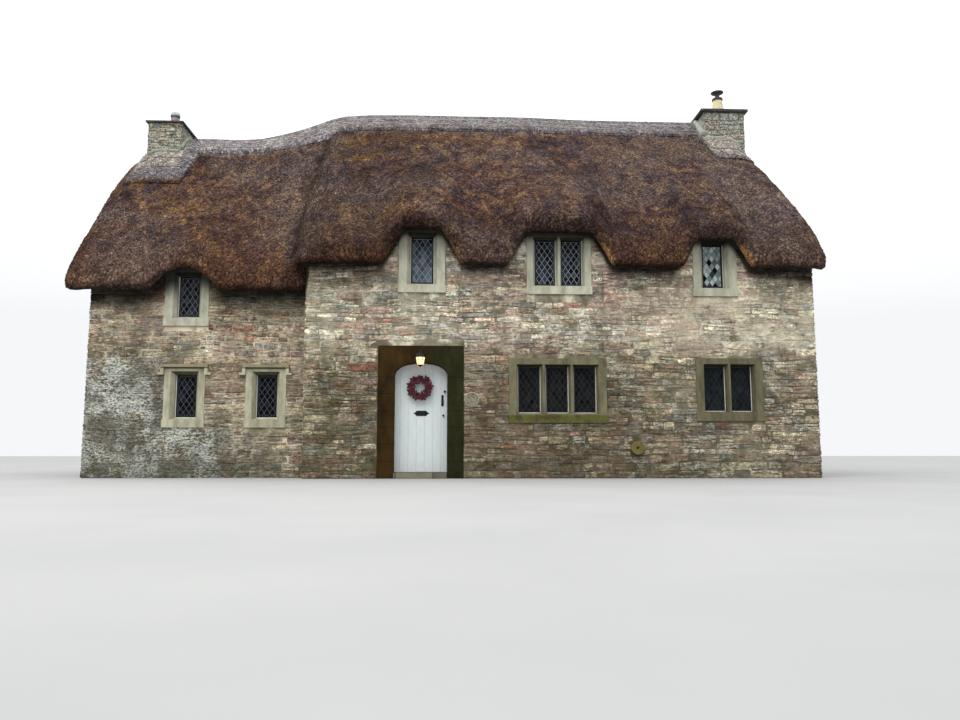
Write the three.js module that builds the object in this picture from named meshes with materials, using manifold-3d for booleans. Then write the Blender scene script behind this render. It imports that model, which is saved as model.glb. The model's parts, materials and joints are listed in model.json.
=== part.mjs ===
// Thatched stone cottage of two storeys: a main block and a lower, narrower wing under one sweeping roof.
// Millimetres, +Z up. Origin on the ground at the middle of the footprint, under the ridge.
// The front faces -Y, and +X runs to the right as the front is seen.
import * as THREE from "three";
import { mergeVertices } from "three/addons/utils/BufferGeometryUtils.js";
import Module from "manifold-3d";

const wasm = await Module();
wasm.setup();

// Driving dimensions of the walls
const END_X = 6500; // outer faces of both gable walls
const JUNCTION_X = -2560; // left end of the main block, where the wing starts
const MAIN_V = 3200; // outer faces of the main block, each side of the ridge
const WING_V = 2700; // outer faces of the wing
const WALL = 600; // rubble wall thickness
const LEFT_GABLE = 710; // gable walls are as thick as the stacks they carry
const RIGHT_GABLE = 930;
const GAP = 0.3; // clearance between stones that bear on each other
const PAST = 20; // how far a cutter runs past what it cuts
const RAW_TOP = 6900; // walls are cut down from this height by the roof

// Floors
const FLOOR_TOP = 100;
const MAIN_UPPER = { bottom: 2350, top: 2600 };
const WING_UPPER = { bottom: 2000, top: 2200 };

// Roof
// Top of the ridge cap along the building: pairs of x and height
const RIDGE = [
  [-6600, 7320], [-5200, 7322], [-4700, 7305], [-4200, 7343], [-3700, 7458], [-3200, 7610], [-2650, 7828],
  [-2400, 7896], [-1900, 7940], [-1100, 7956], [1700, 7956], [3100, 7912], [6660, 7911],
];
const SWEEP_START = -4500; // where the ridge begins to climb
const SWEEP_LENGTH = 2400;
const CAP_THICK = 90; // ridge cap over the main coat of thatch
const COAT = 520; // main coat of thatch, measured straight down
const BULGE = 60; // how far a slope bellies out half way up
const MAIN_EAVE = { v: 3650, bottom: 3665 };
const WING_EAVE = { v: 3150, bottom: 3275 };
const NOSE_RISE = 315; // from the underside of the eave to the start of the slope
const FADE = 0.62; // share of the slope over which a window's lift dies away
const SPREAD = 900; // how much wider a lift grows up the slope
const VERGE = { left: -6860, right: 6660, width: 560, drop: 230, dropAtRidge: 130, inset: 150 };
const SHOULDER = { x: -2860, width: 660, under: 100 };
// The ends of the roof draw in towards the stacks and, at the shoulder, towards the eave: how far, by v
const DRAWN_IN = {
  left: {
    reach: 900,
    by: [[500, 64], [900, -7], [1300, -45], [1900, 0], [2150, 12], [2600, -24], [2850, 24], [3150, 75]],
  },
  right: {
    reach: 1100,
    by: [[500, 300], [900, 270], [1300, 160], [1900, 50], [2500, -22], [3000, -54], [3300, -12], [3650, 50]],
  },
  shoulder: { reach: 290, by: [[300, 190], [1500, 80], [2600, 0], [3100, 20], [3650, 140]] },
};

// Ridge cap: half widths along the slope, with an apron before and behind each stack. Thicknesses by v
const CAP = {
  half: 470,
  wingHalf: 350,
  x0: -6600,
  x1: 6500,
  skirt: 250,
  crest: 18,
  crestShare: 0.3,
  thick: [[0, CAP_THICK], [470, 62]],
};
const APRON = {
  left: { half: 1250, edge: -5350, thick: [[0, CAP_THICK], [300, 140], [500, 178], [900, 120], [1250, 38]] },
  leftVerge: { over: 350, thick: [[0, CAP_THICK], [250, 66], [500, 50], [1250, 36]] },
  right: { half: 1240, edge: 5400, thick: [[0, CAP_THICK], [250, 70], [500, 40], [1240, 32]] },
  blend: 190,
};

// Eyebrows cut in the eave over the upper windows: foot, shoulder, shoulder, foot, and how high each lifts
const FRONT_LIFTS = [
  { x: [-1210, -887, -196, 168], up: 620 },
  { x: [959, 1278, 2494, 2819], up: 590 },
  { x: [4062, 4315, 4997, 5314], up: 500 },
];
const BACK_LIFTS = [
  { x: [-620, -300, 900, 1220], up: 560 },
  { x: [3330, 3650, 4850, 5170], up: 560 },
];
const WING_FRONT_LIFTS = [{ x: [-5400, -4850, -4590, -4130], up: 390, round: true }];
const WING_BACK_LIFTS = [{ x: [-4900, -4400, -4140, -3700], up: 390, round: true }];

// Stacks
const STACK_HALF_DEPTH = 500;
const STACKS = {
  left: { x0: -END_X + 30, x1: -END_X + LEFT_GABLE, pot: -6100, foot: 6150, top: 7435, slab: 40, over: 60 },
  right: { x0: END_X - RIGHT_GABLE, x1: END_X - 43, pot: 6070, foot: 6780, top: 7913, slab: 62, over: 82 },
};
const FLUE = 220;
const FLAUNCH = { foot: 300, head: 170, rise: 55, bore: 80 };

// Door
const DOOR = {
  x: -542,
  opening: 916,
  spring: 1800,
  apex: 2010,
  jamb: 290,
  headTop: 2300,
  rebate: 40,
  leafThick: 50,
  leafY: -3015,
  leafClear: 7,
  reveal: 20, // how much wider than the leaf the wall is behind it
  stepTop: 100,
  stepOut: 60,
};

// Windows: centre x, underside and height of the lights, count and width of the lights
const STONE_PROUD = 15;
const STONE_DEPTH = 240;
const MULLION_DEPTH = 150;
const CHAMFER = { grow: 55, share: 0.3, depth: 75 }; // share of a mullion on lights in a row
const REBATE = 25; // how far the glazing reaches behind the stone
const SHEET = 12;
const CASEMENT = { width: 28, proud: 22 };
const LINTEL = 130;
const WINDOWS = [
  { name: "main_upper_left", wall: "mainFront", x: -540, sill: 3415, h: 858, n: 1, w: 430, band: 195 },
  { name: "main_upper_middle", wall: "mainFront", x: 1900, sill: 3405, h: 845, n: 2, w: 399, band: 139 },
  { name: "main_upper_right", wall: "mainFront", x: 4722, sill: 3392, h: 805, n: 1, w: 405, band: 197 },
  { name: "main_lower_middle", wall: "mainFront", x: 1856, sill: 1127, h: 830, n: 3, w: 415, band: 159 },
  { name: "main_lower_right", wall: "mainFront", x: 4920, sill: 1162, h: 815, n: 2, w: 399, band: 161 },
  { name: "wing_upper", wall: "wingFront", x: -4773, sill: 2867, h: 757, n: 1, w: 395, band: 193 },
  { name: "wing_lower_left", wall: "wingFront", x: -4754, sill: 1052, h: 775, n: 1, w: 385, band: 165 },
  { name: "wing_lower_right", wall: "wingFront", x: -3322, sill: 1052, h: 775, n: 1, w: 385, band: 165 },
  { name: "back_upper_left", wall: "mainBack", x: 300, sill: 3405, h: 830, n: 2, w: 389, band: 149 },
  { name: "back_upper_right", wall: "mainBack", x: 4250, sill: 3405, h: 830, n: 2, w: 389, band: 149 },
  { name: "back_lower", wall: "mainBack", x: 3200, sill: 1127, h: 830, n: 3, w: 415, band: 155 },
  { name: "wing_back_upper", wall: "wingBack", x: -4310, sill: 2867, h: 757, n: 1, w: 395, band: 178 },
];
const HOODED = ["wing_lower_left", "wing_lower_right"];
const MULLION = 80;
const SILL_BLOCK = 170;
const SILL_EAR = { side: 12, proud: 15 };
const HOOD = { project: 75, thick: 48, drop: 190, overhang: 55, foot: 55 };
const FACES = {
  mainFront: { y: -MAIN_V, out: -1 },
  wingFront: { y: -WING_V, out: -1 },
  mainBack: { y: MAIN_V, out: 1 },
  wingBack: { y: WING_V, out: 1 },
};

const smooth = (t) => {
  const c = Math.min(1, Math.max(0, t));
  return c * c * (3 - 2 * c);
};
const lerp = (a, b, t) => a + (b - a) * t;

// Solids from three.js geometry, cut and joined
function solid(geometry) {
  const bare = geometry.index ? geometry.toNonIndexed() : geometry.clone();
  bare.deleteAttribute("normal");
  bare.deleteAttribute("uv");
  const merged = mergeVertices(bare, 1e-3);
  const triVerts = new Uint32Array(merged.index.array);
  const vertProperties = new Float32Array(merged.attributes.position.array);
  return new wasm.Manifold(new wasm.Mesh({ numProp: 3, vertProperties, triVerts }));
}

function geometryOf(manifold) {
  const m = manifold.getMesh();
  const points = new Float32Array(m.numVert * 3);
  for (let i = 0; i < m.numVert; i++) {
    points.set(m.vertProperties.subarray(i * m.numProp, i * m.numProp + 3), i * 3);
  }
  const g = new THREE.BufferGeometry();
  g.setAttribute("position", new THREE.BufferAttribute(points, 3));
  g.setIndex(new THREE.BufferAttribute(m.triVerts, 1));
  const flat = g.toNonIndexed();
  flat.computeVertexNormals();
  return flat;
}

function box(x0, x1, y0, y1, z0, z1) {
  const g = new THREE.BoxGeometry(x1 - x0, y1 - y0, z1 - z0);
  g.translate((x0 + x1) / 2, (y0 + y1) / 2, (z0 + z1) / 2);
  return solid(g);
}

// A prism over an outline in plan, from z0 up to z1
function prism(outline, z0, z1) {
  const g = new THREE.ExtrudeGeometry(new THREE.Shape(outline.map(([x, y]) => new THREE.Vector2(x, y))), {
    depth: z1 - z0,
    bevelEnabled: false,
  });
  g.translate(0, 0, z0);
  return solid(g);
}

// A box whose face at y0 is wider by grow on every side than its face at y1
function splayedBox(cx, w, z0, z1, y0, y1, grow) {
  const g = new THREE.BoxGeometry(w, Math.abs(y1 - y0), z1 - z0);
  const p = g.attributes.position;
  const wideAtLow = y0 < y1;
  for (let i = 0; i < p.count; i++) {
    if (p.getY(i) < 0 === wideAtLow) {
      p.setX(i, p.getX(i) + Math.sign(p.getX(i)) * grow);
      p.setZ(i, p.getZ(i) + Math.sign(p.getZ(i)) * grow);
    }
  }
  g.translate(cx, (y0 + y1) / 2, (z0 + z1) / 2);
  return solid(g);
}

const joined = (parts) => parts.reduce((a, b) => a.add(b));

// The roof is drawn in half sections: v is the distance from the ridge line, z the height
const ridgeTop = (x) => along(RIDGE, x);

function slopeLine(x, v, eave) {
  const foot = eave.bottom + NOSE_RISE;
  const head = ridgeTop(x) - CAP_THICK;
  const s = 1 - v / eave.v;
  return lerp(foot, head, s) + BULGE * Math.sin(Math.PI * Math.min(1, Math.max(0, s)));
}

// How far the eyebrows raise the roof at x, a share s of the way up the slope
function liftAt(x, s, lifts) {
  const fade = Math.max(0, 1 - Math.max(0, s) / FADE);
  let up = 0;
  for (const lift of lifts) {
    const [a, b, c, d] = lift.x;
    const wide = SPREAD * Math.max(0, s);
    const rise = Math.min((x - a + wide) / (b - a + wide), (d + wide - x) / (d - c + wide));
    const ramp = Math.min(1, Math.max(0, rise));
    const edge = lift.round ? Math.sin((Math.PI / 2) * ramp) : lerp(ramp, smooth(ramp), 0.25);
    const shape = lerp(edge, smooth(ramp), Math.min(1, 4 * Math.max(0, s)));
    up = Math.max(up, lift.up * shape * fade * fade * (3 - 2 * fade));
  }
  return up;
}

// A quarter circle's fall, 0 inside and 1 at the very end
const roundOff = (t) => 1 - Math.sqrt(1 - Math.min(1, Math.max(0, t)) ** 2);

function vergeFall(x) {
  const left = (VERGE.left + VERGE.width - x) / VERGE.width;
  const right = (x - VERGE.right + VERGE.width) / VERGE.width;
  return roundOff(Math.max(left, right));
}

const vergeDrop = (x, v, eave) => vergeFall(x) * lerp(VERGE.dropAtRidge + VERGE.drop, VERGE.drop, v / eave.v);

function wingOuter(x, v, lifts) {
  const s = 1 - v / WING_EAVE.v;
  return slopeLine(x, v, WING_EAVE) + liftAt(x, s, lifts) - vergeDrop(x, v, WING_EAVE);
}

function mainOuter(x, v, lifts) {
  const s = 1 - v / MAIN_EAVE.v;
  const plain = slopeLine(x, v, MAIN_EAVE) + liftAt(x, s, lifts) - vergeDrop(x, v, MAIN_EAVE);
  const k = roundOff((SHOULDER.x + SHOULDER.width - x) / SHOULDER.width);
  const down = k * (plain - slopeLine(x, v, WING_EAVE) + SHOULDER.under);
  return Math.max(plain - down, MAIN_EAVE.bottom + 60 + (MAIN_EAVE.v - v) * 0.3);
}

// Shares of the eave's depth at which a section has points, from the nose up to the ridge
const SLOPE_STEPS = [0.035, 0.1, 0.19, 0.3, 0.43, 0.58, 0.72, 0.87, 1];
const UNDER_STEPS = [1, 0.8, 0.6, 0.4, 0.25, 0.13];
const NOSE = [
  [210, 0],
  [110, 14],
  [38, 70],
  [6, 165],
  [12, 265],
];

// One half section of thatch at x, from the underside of the eave round the nose and up to the ridge
function thatchSection(x, { eave, outer, lifts, under }) {
  const foot = eave.bottom + liftAt(x, 0, lifts);
  const edge = eave.v - VERGE.inset * vergeFall(x);
  const first = edge * (1 - SLOPE_STEPS[0]);
  const plump = Math.min(1, (outer(x, first, lifts) - foot) / (NOSE_RISE + 130));
  const points = NOSE.map(([back, up]) => [edge - back, foot + up * plump]);
  for (const s of SLOPE_STEPS) {
    const v = s === 1 ? GAP / 2 : edge * (1 - s);
    points.push([v, outer(x, v, lifts)]);
  }
  for (const s of UNDER_STEPS) {
    const v = s === 1 ? GAP / 2 : eave.v * (1 - s);
    points.push([v, under(x, v, s)]);
  }
  return points;
}

// A value read off a list of [v, value] pairs, straight between them
function along(pairs, v) {
  const i = pairs.findIndex(([at]) => at >= v);
  if (i === 0) return pairs[0][1];
  if (i < 0) return pairs[pairs.length - 1][1];
  const [[v0, a], [v1, b]] = [pairs[i - 1], pairs[i]];
  return lerp(a, b, (v - v0) / (v1 - v0));
}

// Where a point drawn at x, v really lies along the building
const wingX = (x, v) => x + along(DRAWN_IN.left.by, v) * endShare(VERGE.left - x, DRAWN_IN.left.reach);
function mainX(x, v) {
  const right = along(DRAWN_IN.right.by, v) * endShare(x - VERGE.right, DRAWN_IN.right.reach);
  const left = along(DRAWN_IN.shoulder.by, v) * endShare(SHOULDER.x - x, DRAWN_IN.shoulder.reach);
  return x - right + left;
}

// 1 at an end of the roof, falling to 0 a reach inside it
const endShare = (past, reach) => Math.min(1, Math.max(0, 1 + past / reach));

// A body swept along x through sections of equal length, on one side of the ridge or on both
function sweep(columns, section, side, place = (x) => x) {
  const rings = columns.map((x) => section(x).map(([v, z]) => [place(x, Math.abs(v)), side * v, z]));
  const n = rings[0].length;
  const position = rings.flat(2);
  const index = [];
  for (let i = 0; i + 1 < rings.length; i++) {
    for (let j = 0; j < n; j++) {
      const a = i * n + j;
      const b = i * n + ((j + 1) % n);
      index.push(a, b, a + n, b, b + n, a + n);
    }
  }
  const flat = (i) => rings[i].map(([, y, z]) => new THREE.Vector2(y, z));
  if (THREE.ShapeUtils.area(flat(0)) < 0) {
    for (let i = 0; i < index.length; i += 3) {
      [index[i + 1], index[i + 2]] = [index[i + 2], index[i + 1]];
    }
  }
  const last = rings.length - 1;
  for (const [a, b, c] of THREE.ShapeUtils.triangulateShape(flat(0), [])) {
    index.push(a, c, b);
  }
  for (const [a, b, c] of THREE.ShapeUtils.triangulateShape(flat(last), [])) {
    index.push(last * n + a, last * n + b, last * n + c);
  }
  const g = new THREE.BufferGeometry();
  g.setAttribute("position", new THREE.Float32BufferAttribute(position, 3));
  g.setIndex(index);
  return solid(g);
}

// Columns of a roof: even steps, closer at the eyebrows and where a verge rounds off
function columnsFor(x0, x1, lifts, ends, spacing) {
  const marks = new Set([x0, x1]);
  for (const { x } of lifts) {
    const [a, b, c, d] = x;
    const rise = [a - 220, a - 60, a, (a + b) / 2, b, b + 90];
    const fall = [c - 90, c, (c + d) / 2, d, d + 60, d + 220];
    [...rise, ...fall].forEach((m) => marks.add(m));
  }
  for (const { at, width, towards } of ends) {
    [0.02, 0.09, 0.22, 0.42, 0.7, 1].forEach((t) => marks.add(at + towards * width * t));
  }
  const fixed = [...marks].filter((m) => m >= x0 && m <= x1).sort((p, q) => p - q);
  const out = [fixed[0]];
  for (const m of fixed.slice(1)) {
    const last = out[out.length - 1];
    if (m - last < 12 && m !== x1) continue;
    const parts = Math.max(1, Math.round((m - last) / spacing));
    for (let i = 1; i <= parts; i++) out.push(lerp(last, m, i / parts));
  }
  return out;
}

const COLUMN_STEP = 480;
const LEFT_END = { at: VERGE.left, width: VERGE.width, towards: 1 };
const RIGHT_END = { at: VERGE.right, width: VERGE.width, towards: -1 };
const SHOULDER_END = { at: SHOULDER.x, width: SHOULDER.width, towards: 1 };

function wingSide(lifts) {
  const columns = columnsFor(VERGE.left, JUNCTION_X - GAP, lifts, [LEFT_END], COLUMN_STEP);
  const under = (x, v, s) => slopeLine(x, v, WING_EAVE) - COAT + liftAt(x, s, lifts);
  return { columns, lifts, eave: WING_EAVE, outer: wingOuter, under, place: wingX };
}

function mainSide(lifts) {
  const spaced = columnsFor(SHOULDER.x, VERGE.right, lifts, [SHOULDER_END, RIGHT_END], COLUMN_STEP);
  const columns = spaced.filter((x) => Math.abs(x - JUNCTION_X) > 30);
  columns.push(JUNCTION_X - GAP - 1, JUNCTION_X - GAP);
  columns.sort((p, q) => p - q);
  const under = (x, v, s) => slopeLine(x, v, MAIN_EAVE) - COAT + liftAt(x, s, lifts);
  return { columns, lifts, eave: MAIN_EAVE, outer: mainOuter, under, place: mainX };
}

const SIDES = {
  wingFront: { roof: wingSide(WING_FRONT_LIFTS), side: -1 },
  wingBack: { roof: wingSide(WING_BACK_LIFTS), side: 1 },
  mainFront: { roof: mainSide(FRONT_LIFTS), side: -1 },
  mainBack: { roof: mainSide(BACK_LIFTS), side: 1 },
};

// All that is over the underside of the thatch: it trims the wall heads
const SKY = 9500;
const BEYOND = 700;
function overUnderside({ roof, side }) {
  const low = roof.columns[0];
  const high = roof.columns[roof.columns.length - 1];
  const columns = [low - BEYOND, ...roof.columns, high + BEYOND];
  const section = (x) => {
    const all = thatchSection(Math.min(high, Math.max(low, x)), roof).map(([v, z]) => [v, z - GAP]);
    const head = [...all.slice(NOSE.length + SLOPE_STEPS.length), all[0]];
    head[0][0] = 0;
    return [...head, [roof.eave.v, all[0][1] - 1], [roof.eave.v, SKY], [0, SKY]];
  };
  return sweep(columns, section, side, (x, v) => (x < low || x > high ? x : roof.place(x, v)));
}

// All that is under the outer face of the thatch: it trims what lies on the coat
const DEEP = 3000;
function underOuter({ roof, side }, x1) {
  const columns = roof.columns.filter((x) => x < (x1 ?? Infinity) - 1);
  if (x1 !== undefined) columns.push(x1);
  const section = (x) => {
    const outer = thatchSection(x, roof).slice(3, NOSE.length + SLOPE_STEPS.length);
    const up = outer.map(([v, z]) => [v, z + GAP]);
    up[up.length - 1][0] = 0;
    return [...up, [0, DEEP], [up[0][0], DEEP]];
  };
  return sweep(columns, section, side, roof.place);
}

function stackHole({ x0, x1 }) {
  const low = x0 < 0 ? x0 - BEYOND : x0 - GAP;
  const high = x0 < 0 ? x1 + GAP : x1 + BEYOND;
  return box(low, high, -STACK_HALF_DEPTH - GAP, STACK_HALF_DEPTH + GAP, DEEP, SKY);
}

function wingThatch(which) {
  const { roof, side } = SIDES[which];
  const coat = sweep(roof.columns, (x) => thatchSection(x, roof), side, roof.place);
  return coat.subtract(stackHole(STACKS.left));
}

function mainThatch(which, wingName) {
  const { roof, side } = SIDES[which];
  // Past the junction the coat comes down on the wing's roof and its soffit runs level
  const under = (x, v, s) => (x < JUNCTION_X - 1 ? roof.eave.bottom + 60 * s * s : roof.under(x, v, s));
  const section = (x) => thatchSection(x, { ...roof, under });
  const wing = underOuter(SIDES[wingName], JUNCTION_X);
  return sweep(roof.columns, section, side, roof.place).subtract(wing).subtract(stackHole(STACKS.right));
}

// Ridge cap: a second coat astride the ridge, coming down as an apron before and behind each stack
const CAP_STEPS = [1, 0.78, 0.55, 0.33, 0.12, 0];
const CAP_COLUMN_STEP = 300;

// A value of the cap at x, blended from the plain one into those of the two aprons
function withAprons(x, plain, left, right) {
  const nearLeft = smooth((APRON.left.edge - x) / APRON.blend);
  const nearRight = smooth((x - APRON.right.edge) / APRON.blend);
  return lerp(lerp(plain, left, nearLeft), right, nearRight);
}

function capHalf(x) {
  const plain = lerp(CAP.wingHalf, CAP.half, smooth((x - SWEEP_START) / SWEEP_LENGTH));
  return withAprons(x, plain, APRON.left.half, APRON.right.half);
}

function capThick(x, v) {
  const inward = smooth((x - CAP.x0) / APRON.leftVerge.over);
  const left = lerp(along(APRON.leftVerge.thick, v), along(APRON.left.thick, v), inward);
  return withAprons(x, along(CAP.thick, v), left, along(APRON.right.thick, v));
}

function roofTop(x, v, side) {
  const wing = SIDES[side < 0 ? "wingFront" : "wingBack"].roof;
  const main = SIDES[side < 0 ? "mainFront" : "mainBack"].roof;
  const onWing = x <= JUNCTION_X ? wingOuter(x, v, wing.lifts) : -Infinity;
  const onMain = x >= SHOULDER.x ? mainOuter(x, v, main.lifts) : -Infinity;
  return Math.max(onWing, onMain);
}

function ridgeCap() {
  const columns = columnsFor(CAP.x0, CAP.x1, [], [LEFT_END, RIGHT_END], CAP_COLUMN_STEP);
  for (const t of [0, 0.3, 0.63, 1]) {
    columns.push(APRON.left.edge - APRON.blend * t, APRON.right.edge + APRON.blend * t);
    columns.push(CAP.x0 + APRON.leftVerge.over * t);
  }
  columns.sort((p, q) => p - q);
  const kept = columns.filter((x, i) => i === 0 || x - columns[i - 1] > 12);
  const section = (x) => {
    const half = capHalf(x);
    const top = (side) => CAP_STEPS.map((t) => {
      const v = half * t;
      const crest = CAP.crest * Math.max(0, 1 - t / CAP.crestShare);
      return [side * v, roofTop(x, v, side) + capThick(x, v) - crest];
    });
    const front = top(-1);
    const back = top(1).slice(0, -1).reverse();
    const low = roofTop(x, half, -1) - CAP.skirt;
    return [...front, ...back, [half, low], [-half, low]];
  };
  let cap = sweep(kept, section, 1, (x, v) => (x < JUNCTION_X ? wingX(x, v) : mainX(x, v)));
  for (const wing of ["wingFront", "wingBack"]) cap = cap.subtract(underOuter(SIDES[wing], JUNCTION_X));
  for (const main of ["mainFront", "mainBack"]) cap = cap.subtract(underOuter(SIDES[main]));
  cap = cap.subtract(stackHole(STACKS.left)).subtract(stackHole(STACKS.right));
  return cap.decompose().sort((a, b) => b.volume() - a.volume())[0];
}

// A box in a wall between two depths behind its outer face
function slabIn(wall, x0, x1, d0, d1, z0, z1) {
  const { y, out } = FACES[wall];
  const [near, far] = [y - out * d0, y - out * d1];
  return box(x0, x1, Math.min(near, far), Math.max(near, far), z0, z1);
}

// Window shapes
const lightsWidth = (w) => w.n * w.w + (w.n - 1) * MULLION;
const lightCentre = (w, i) => w.x - lightsWidth(w) / 2 + w.w / 2 + i * (w.w + MULLION);

function windowHole(w) {
  const half = lightsWidth(w) / 2 + w.band + GAP;
  const z0 = w.sill - SILL_BLOCK - GAP;
  const z1 = w.sill + w.h + LINTEL + GAP;
  return slabIn(w.wall, w.x - half, w.x + half, -PAST, WALL + PAST, z0, z1);
}

// Dressed stone frame with chamfered lights, a sill block and, on some, a hood mould
function windowStone(w) {
  const { y, out } = FACES[w.wall];
  const at = (depth) => y - out * depth; // a plane this far behind the wall face
  const slab = (...sides) => slabIn(w.wall, ...sides);
  const half = lightsWidth(w) / 2 + w.band;
  const top = w.sill + w.h + LINTEL;
  let stone = slab(w.x - half, w.x + half, -STONE_PROUD, STONE_DEPTH, w.sill - SILL_BLOCK, top);
  const sill = half + SILL_EAR.side;
  const lip = -STONE_PROUD - SILL_EAR.proud;
  stone = stone.add(slab(w.x - sill, w.x + sill, lip, -GAP, w.sill - SILL_BLOCK, w.sill - REBATE));
  if (HOODED.includes(w.name)) {
    const reach = half + HOOD.overhang;
    const z = top + HOOD.thick;
    const drop = top - HOOD.drop + HOOD.thick;
    stone = stone.add(slab(w.x - reach, w.x + reach, -HOOD.project, -GAP, top - 5, z));
    for (const sign of [-1, 1]) {
      const inner = w.x + sign * half;
      const outer = w.x + sign * reach;
      const foot = outer + sign * HOOD.foot;
      stone = stone.add(slab(Math.min(inner, outer), Math.max(inner, outer), -HOOD.project, -GAP, drop, z));
      const stop = [Math.min(outer - sign * 5, foot), Math.max(outer - sign * 5, foot)];
      stone = stone.add(slab(...stop, -HOOD.project, -GAP, drop, drop + HOOD.thick * 0.8));
    }
  }
  for (let i = 0; i < w.n; i++) {
    const cx = lightCentre(w, i);
    const head = w.sill + w.h;
    const front = -STONE_PROUD - 1;
    stone = stone.subtract(slab(cx - w.w / 2, cx + w.w / 2, front - PAST, STONE_DEPTH + PAST, w.sill, head));
    const grow = w.n > 1 ? MULLION * CHAMFER.share : CHAMFER.grow;
    stone = stone.subtract(splayedBox(cx, w.w, w.sill, head, at(front), at(CHAMFER.depth), grow));
  }
  const reach = lightsWidth(w) / 2 + REBATE;
  const low = w.sill - REBATE;
  const high = w.sill + w.h + REBATE;
  const glazed = slab(w.x - reach, w.x + reach, MULLION_DEPTH, STONE_DEPTH + PAST, low, high);
  return stone.subtract(glazed).subtract(overUnderside(SIDES[w.wall]));
}

// Leaded glazing behind the mullions, with an iron casement standing forward in each light
function windowGlazing(w) {
  const slab = (...sides) => slabIn(w.wall, ...sides);
  const edge = REBATE - GAP;
  const half = lightsWidth(w) / 2 + edge;
  const back = MULLION_DEPTH + SHEET;
  let made = slab(w.x - half, w.x + half, MULLION_DEPTH + GAP, back, w.sill - edge, w.sill + w.h + edge);
  for (let i = 0; i < w.n; i++) {
    const cx = lightCentre(w, i);
    const r = w.w / 2 - GAP;
    const z0 = w.sill + GAP;
    const z1 = w.sill + w.h - GAP;
    const front = MULLION_DEPTH - CASEMENT.proud;
    const bar = CASEMENT.width;
    const ring = slab(cx - r, cx + r, front, MULLION_DEPTH + SHEET / 2, z0, z1);
    const clear = slab(cx - r + bar, cx + r - bar, 0, MULLION_DEPTH - GAP, z0 + bar, z1 - bar);
    made = made.add(ring.subtract(clear));
  }
  return made;
}

// Walls, each trimmed by the roof and pierced by its windows
const holesFor = (wall) => WINDOWS.filter((w) => w.wall === wall).map(windowHole);
const cutAll = (body, cutters) => cutters.reduce((a, b) => a.subtract(b), body);

const doorSides = {
  left: DOOR.x - DOOR.opening / 2 - DOOR.jamb,
  right: DOOR.x + DOOR.opening / 2 + DOOR.jamb,
};

function mainFrontLeft() {
  const reveal = JUNCTION_X + WALL;
  const outline = [
    [JUNCTION_X, -MAIN_V],
    [doorSides.left - GAP, -MAIN_V],
    [doorSides.left - GAP, -MAIN_V + WALL],
    [reveal, -MAIN_V + WALL],
    [reveal, -WING_V + WALL],
    [JUNCTION_X, -WING_V + WALL],
  ];
  return prism(outline, 0, RAW_TOP).subtract(overUnderside(SIDES.mainFront));
}

function mainFrontOverDoor() {
  const raw = box(doorSides.left, doorSides.right, -MAIN_V, -MAIN_V + WALL, DOOR.headTop + GAP, RAW_TOP);
  return cutAll(raw, [overUnderside(SIDES.mainFront), windowHole(WINDOWS[0])]);
}

function mainFrontRight() {
  const raw = box(doorSides.right + GAP, END_X - RIGHT_GABLE - GAP, -MAIN_V, -MAIN_V + WALL, 0, RAW_TOP);
  return cutAll(raw, [overUnderside(SIDES.mainFront), ...holesFor("mainFront").slice(1)]);
}

// The back wall of the main block returns at its left end as the front one does
function mainBack() {
  const reveal = JUNCTION_X + WALL;
  const outline = [
    [JUNCTION_X, WING_V - WALL],
    [reveal, WING_V - WALL],
    [reveal, MAIN_V - WALL],
    [END_X - RIGHT_GABLE - GAP, MAIN_V - WALL],
    [END_X - RIGHT_GABLE - GAP, MAIN_V],
    [JUNCTION_X, MAIN_V],
  ];
  const raw = prism(outline, 0, RAW_TOP);
  return cutAll(raw, [overUnderside(SIDES.mainBack), ...holesFor("mainBack")]);
}

function wingWall(which, sign) {
  const y0 = Math.min(sign * WING_V, sign * (WING_V - WALL));
  const raw = box(-END_X + LEFT_GABLE + GAP, JUNCTION_X - GAP, y0, y0 + WALL, 0, RAW_TOP);
  return cutAll(raw, [overUnderside(SIDES[which]), ...holesFor(which)]);
}

function gableWall(x0, x1, foot, half, front, back) {
  const raw = box(x0, x1, -half, half, 0, RAW_TOP + 600);
  const deep = STACK_HALF_DEPTH + GAP;
  const seat = box(x0 - 9, x1 + 9, -deep, deep, foot, SKY);
  return cutAll(raw, [overUnderside(SIDES[front]), overUnderside(SIDES[back]), seat]);
}

// Floors stop at the inner faces of the walls
function floorPlate(z0, z1, wing, main) {
  const a = -END_X + LEFT_GABLE + GAP;
  const b = JUNCTION_X;
  const c = JUNCTION_X + WALL + GAP;
  const d = END_X - RIGHT_GABLE - GAP;
  const near = WING_V - WALL - GAP;
  const far = MAIN_V - WALL - GAP;
  if (wing && !main) return box(a, b - GAP, -near, near, z0, z1);
  if (main && !wing) {
    return box(c, d, -far, far, z0, z1).add(box(b + GAP, c + 5, -near, near, z0, z1));
  }
  return box(a, c + 5, -near, near, z0, z1).add(box(c, d, -far, far, z0, z1));
}

// Stacks with a flue, a slab on top and a pot
function stackBody(s) {
  const raw = box(s.x0, s.x1, -STACK_HALF_DEPTH, STACK_HALF_DEPTH, s.foot + GAP, s.top);
  const cx = s.pot;
  return raw.subtract(box(cx - FLUE / 2, cx + FLUE / 2, -FLUE / 2, FLUE / 2, s.top - 1200, s.top + 10));
}

function stackSlab(s) {
  const d = STACK_HALF_DEPTH + s.over;
  const z0 = s.top + GAP;
  const cx = s.pot;
  const face = s.top + s.slab;
  const slab = box(s.x0 - s.over, s.x1 + s.over, -d, d, z0, face);
  const flaunch = post(cx, 0, face - 5, face + FLAUNCH.rise, FLAUNCH.foot, FLAUNCH.head, 12);
  const bore = post(cx, 0, s.top - PAST, face + FLAUNCH.rise + PAST, FLAUNCH.bore, FLAUNCH.bore, 8);
  return slab.add(flaunch).subtract(bore);
}

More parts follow.
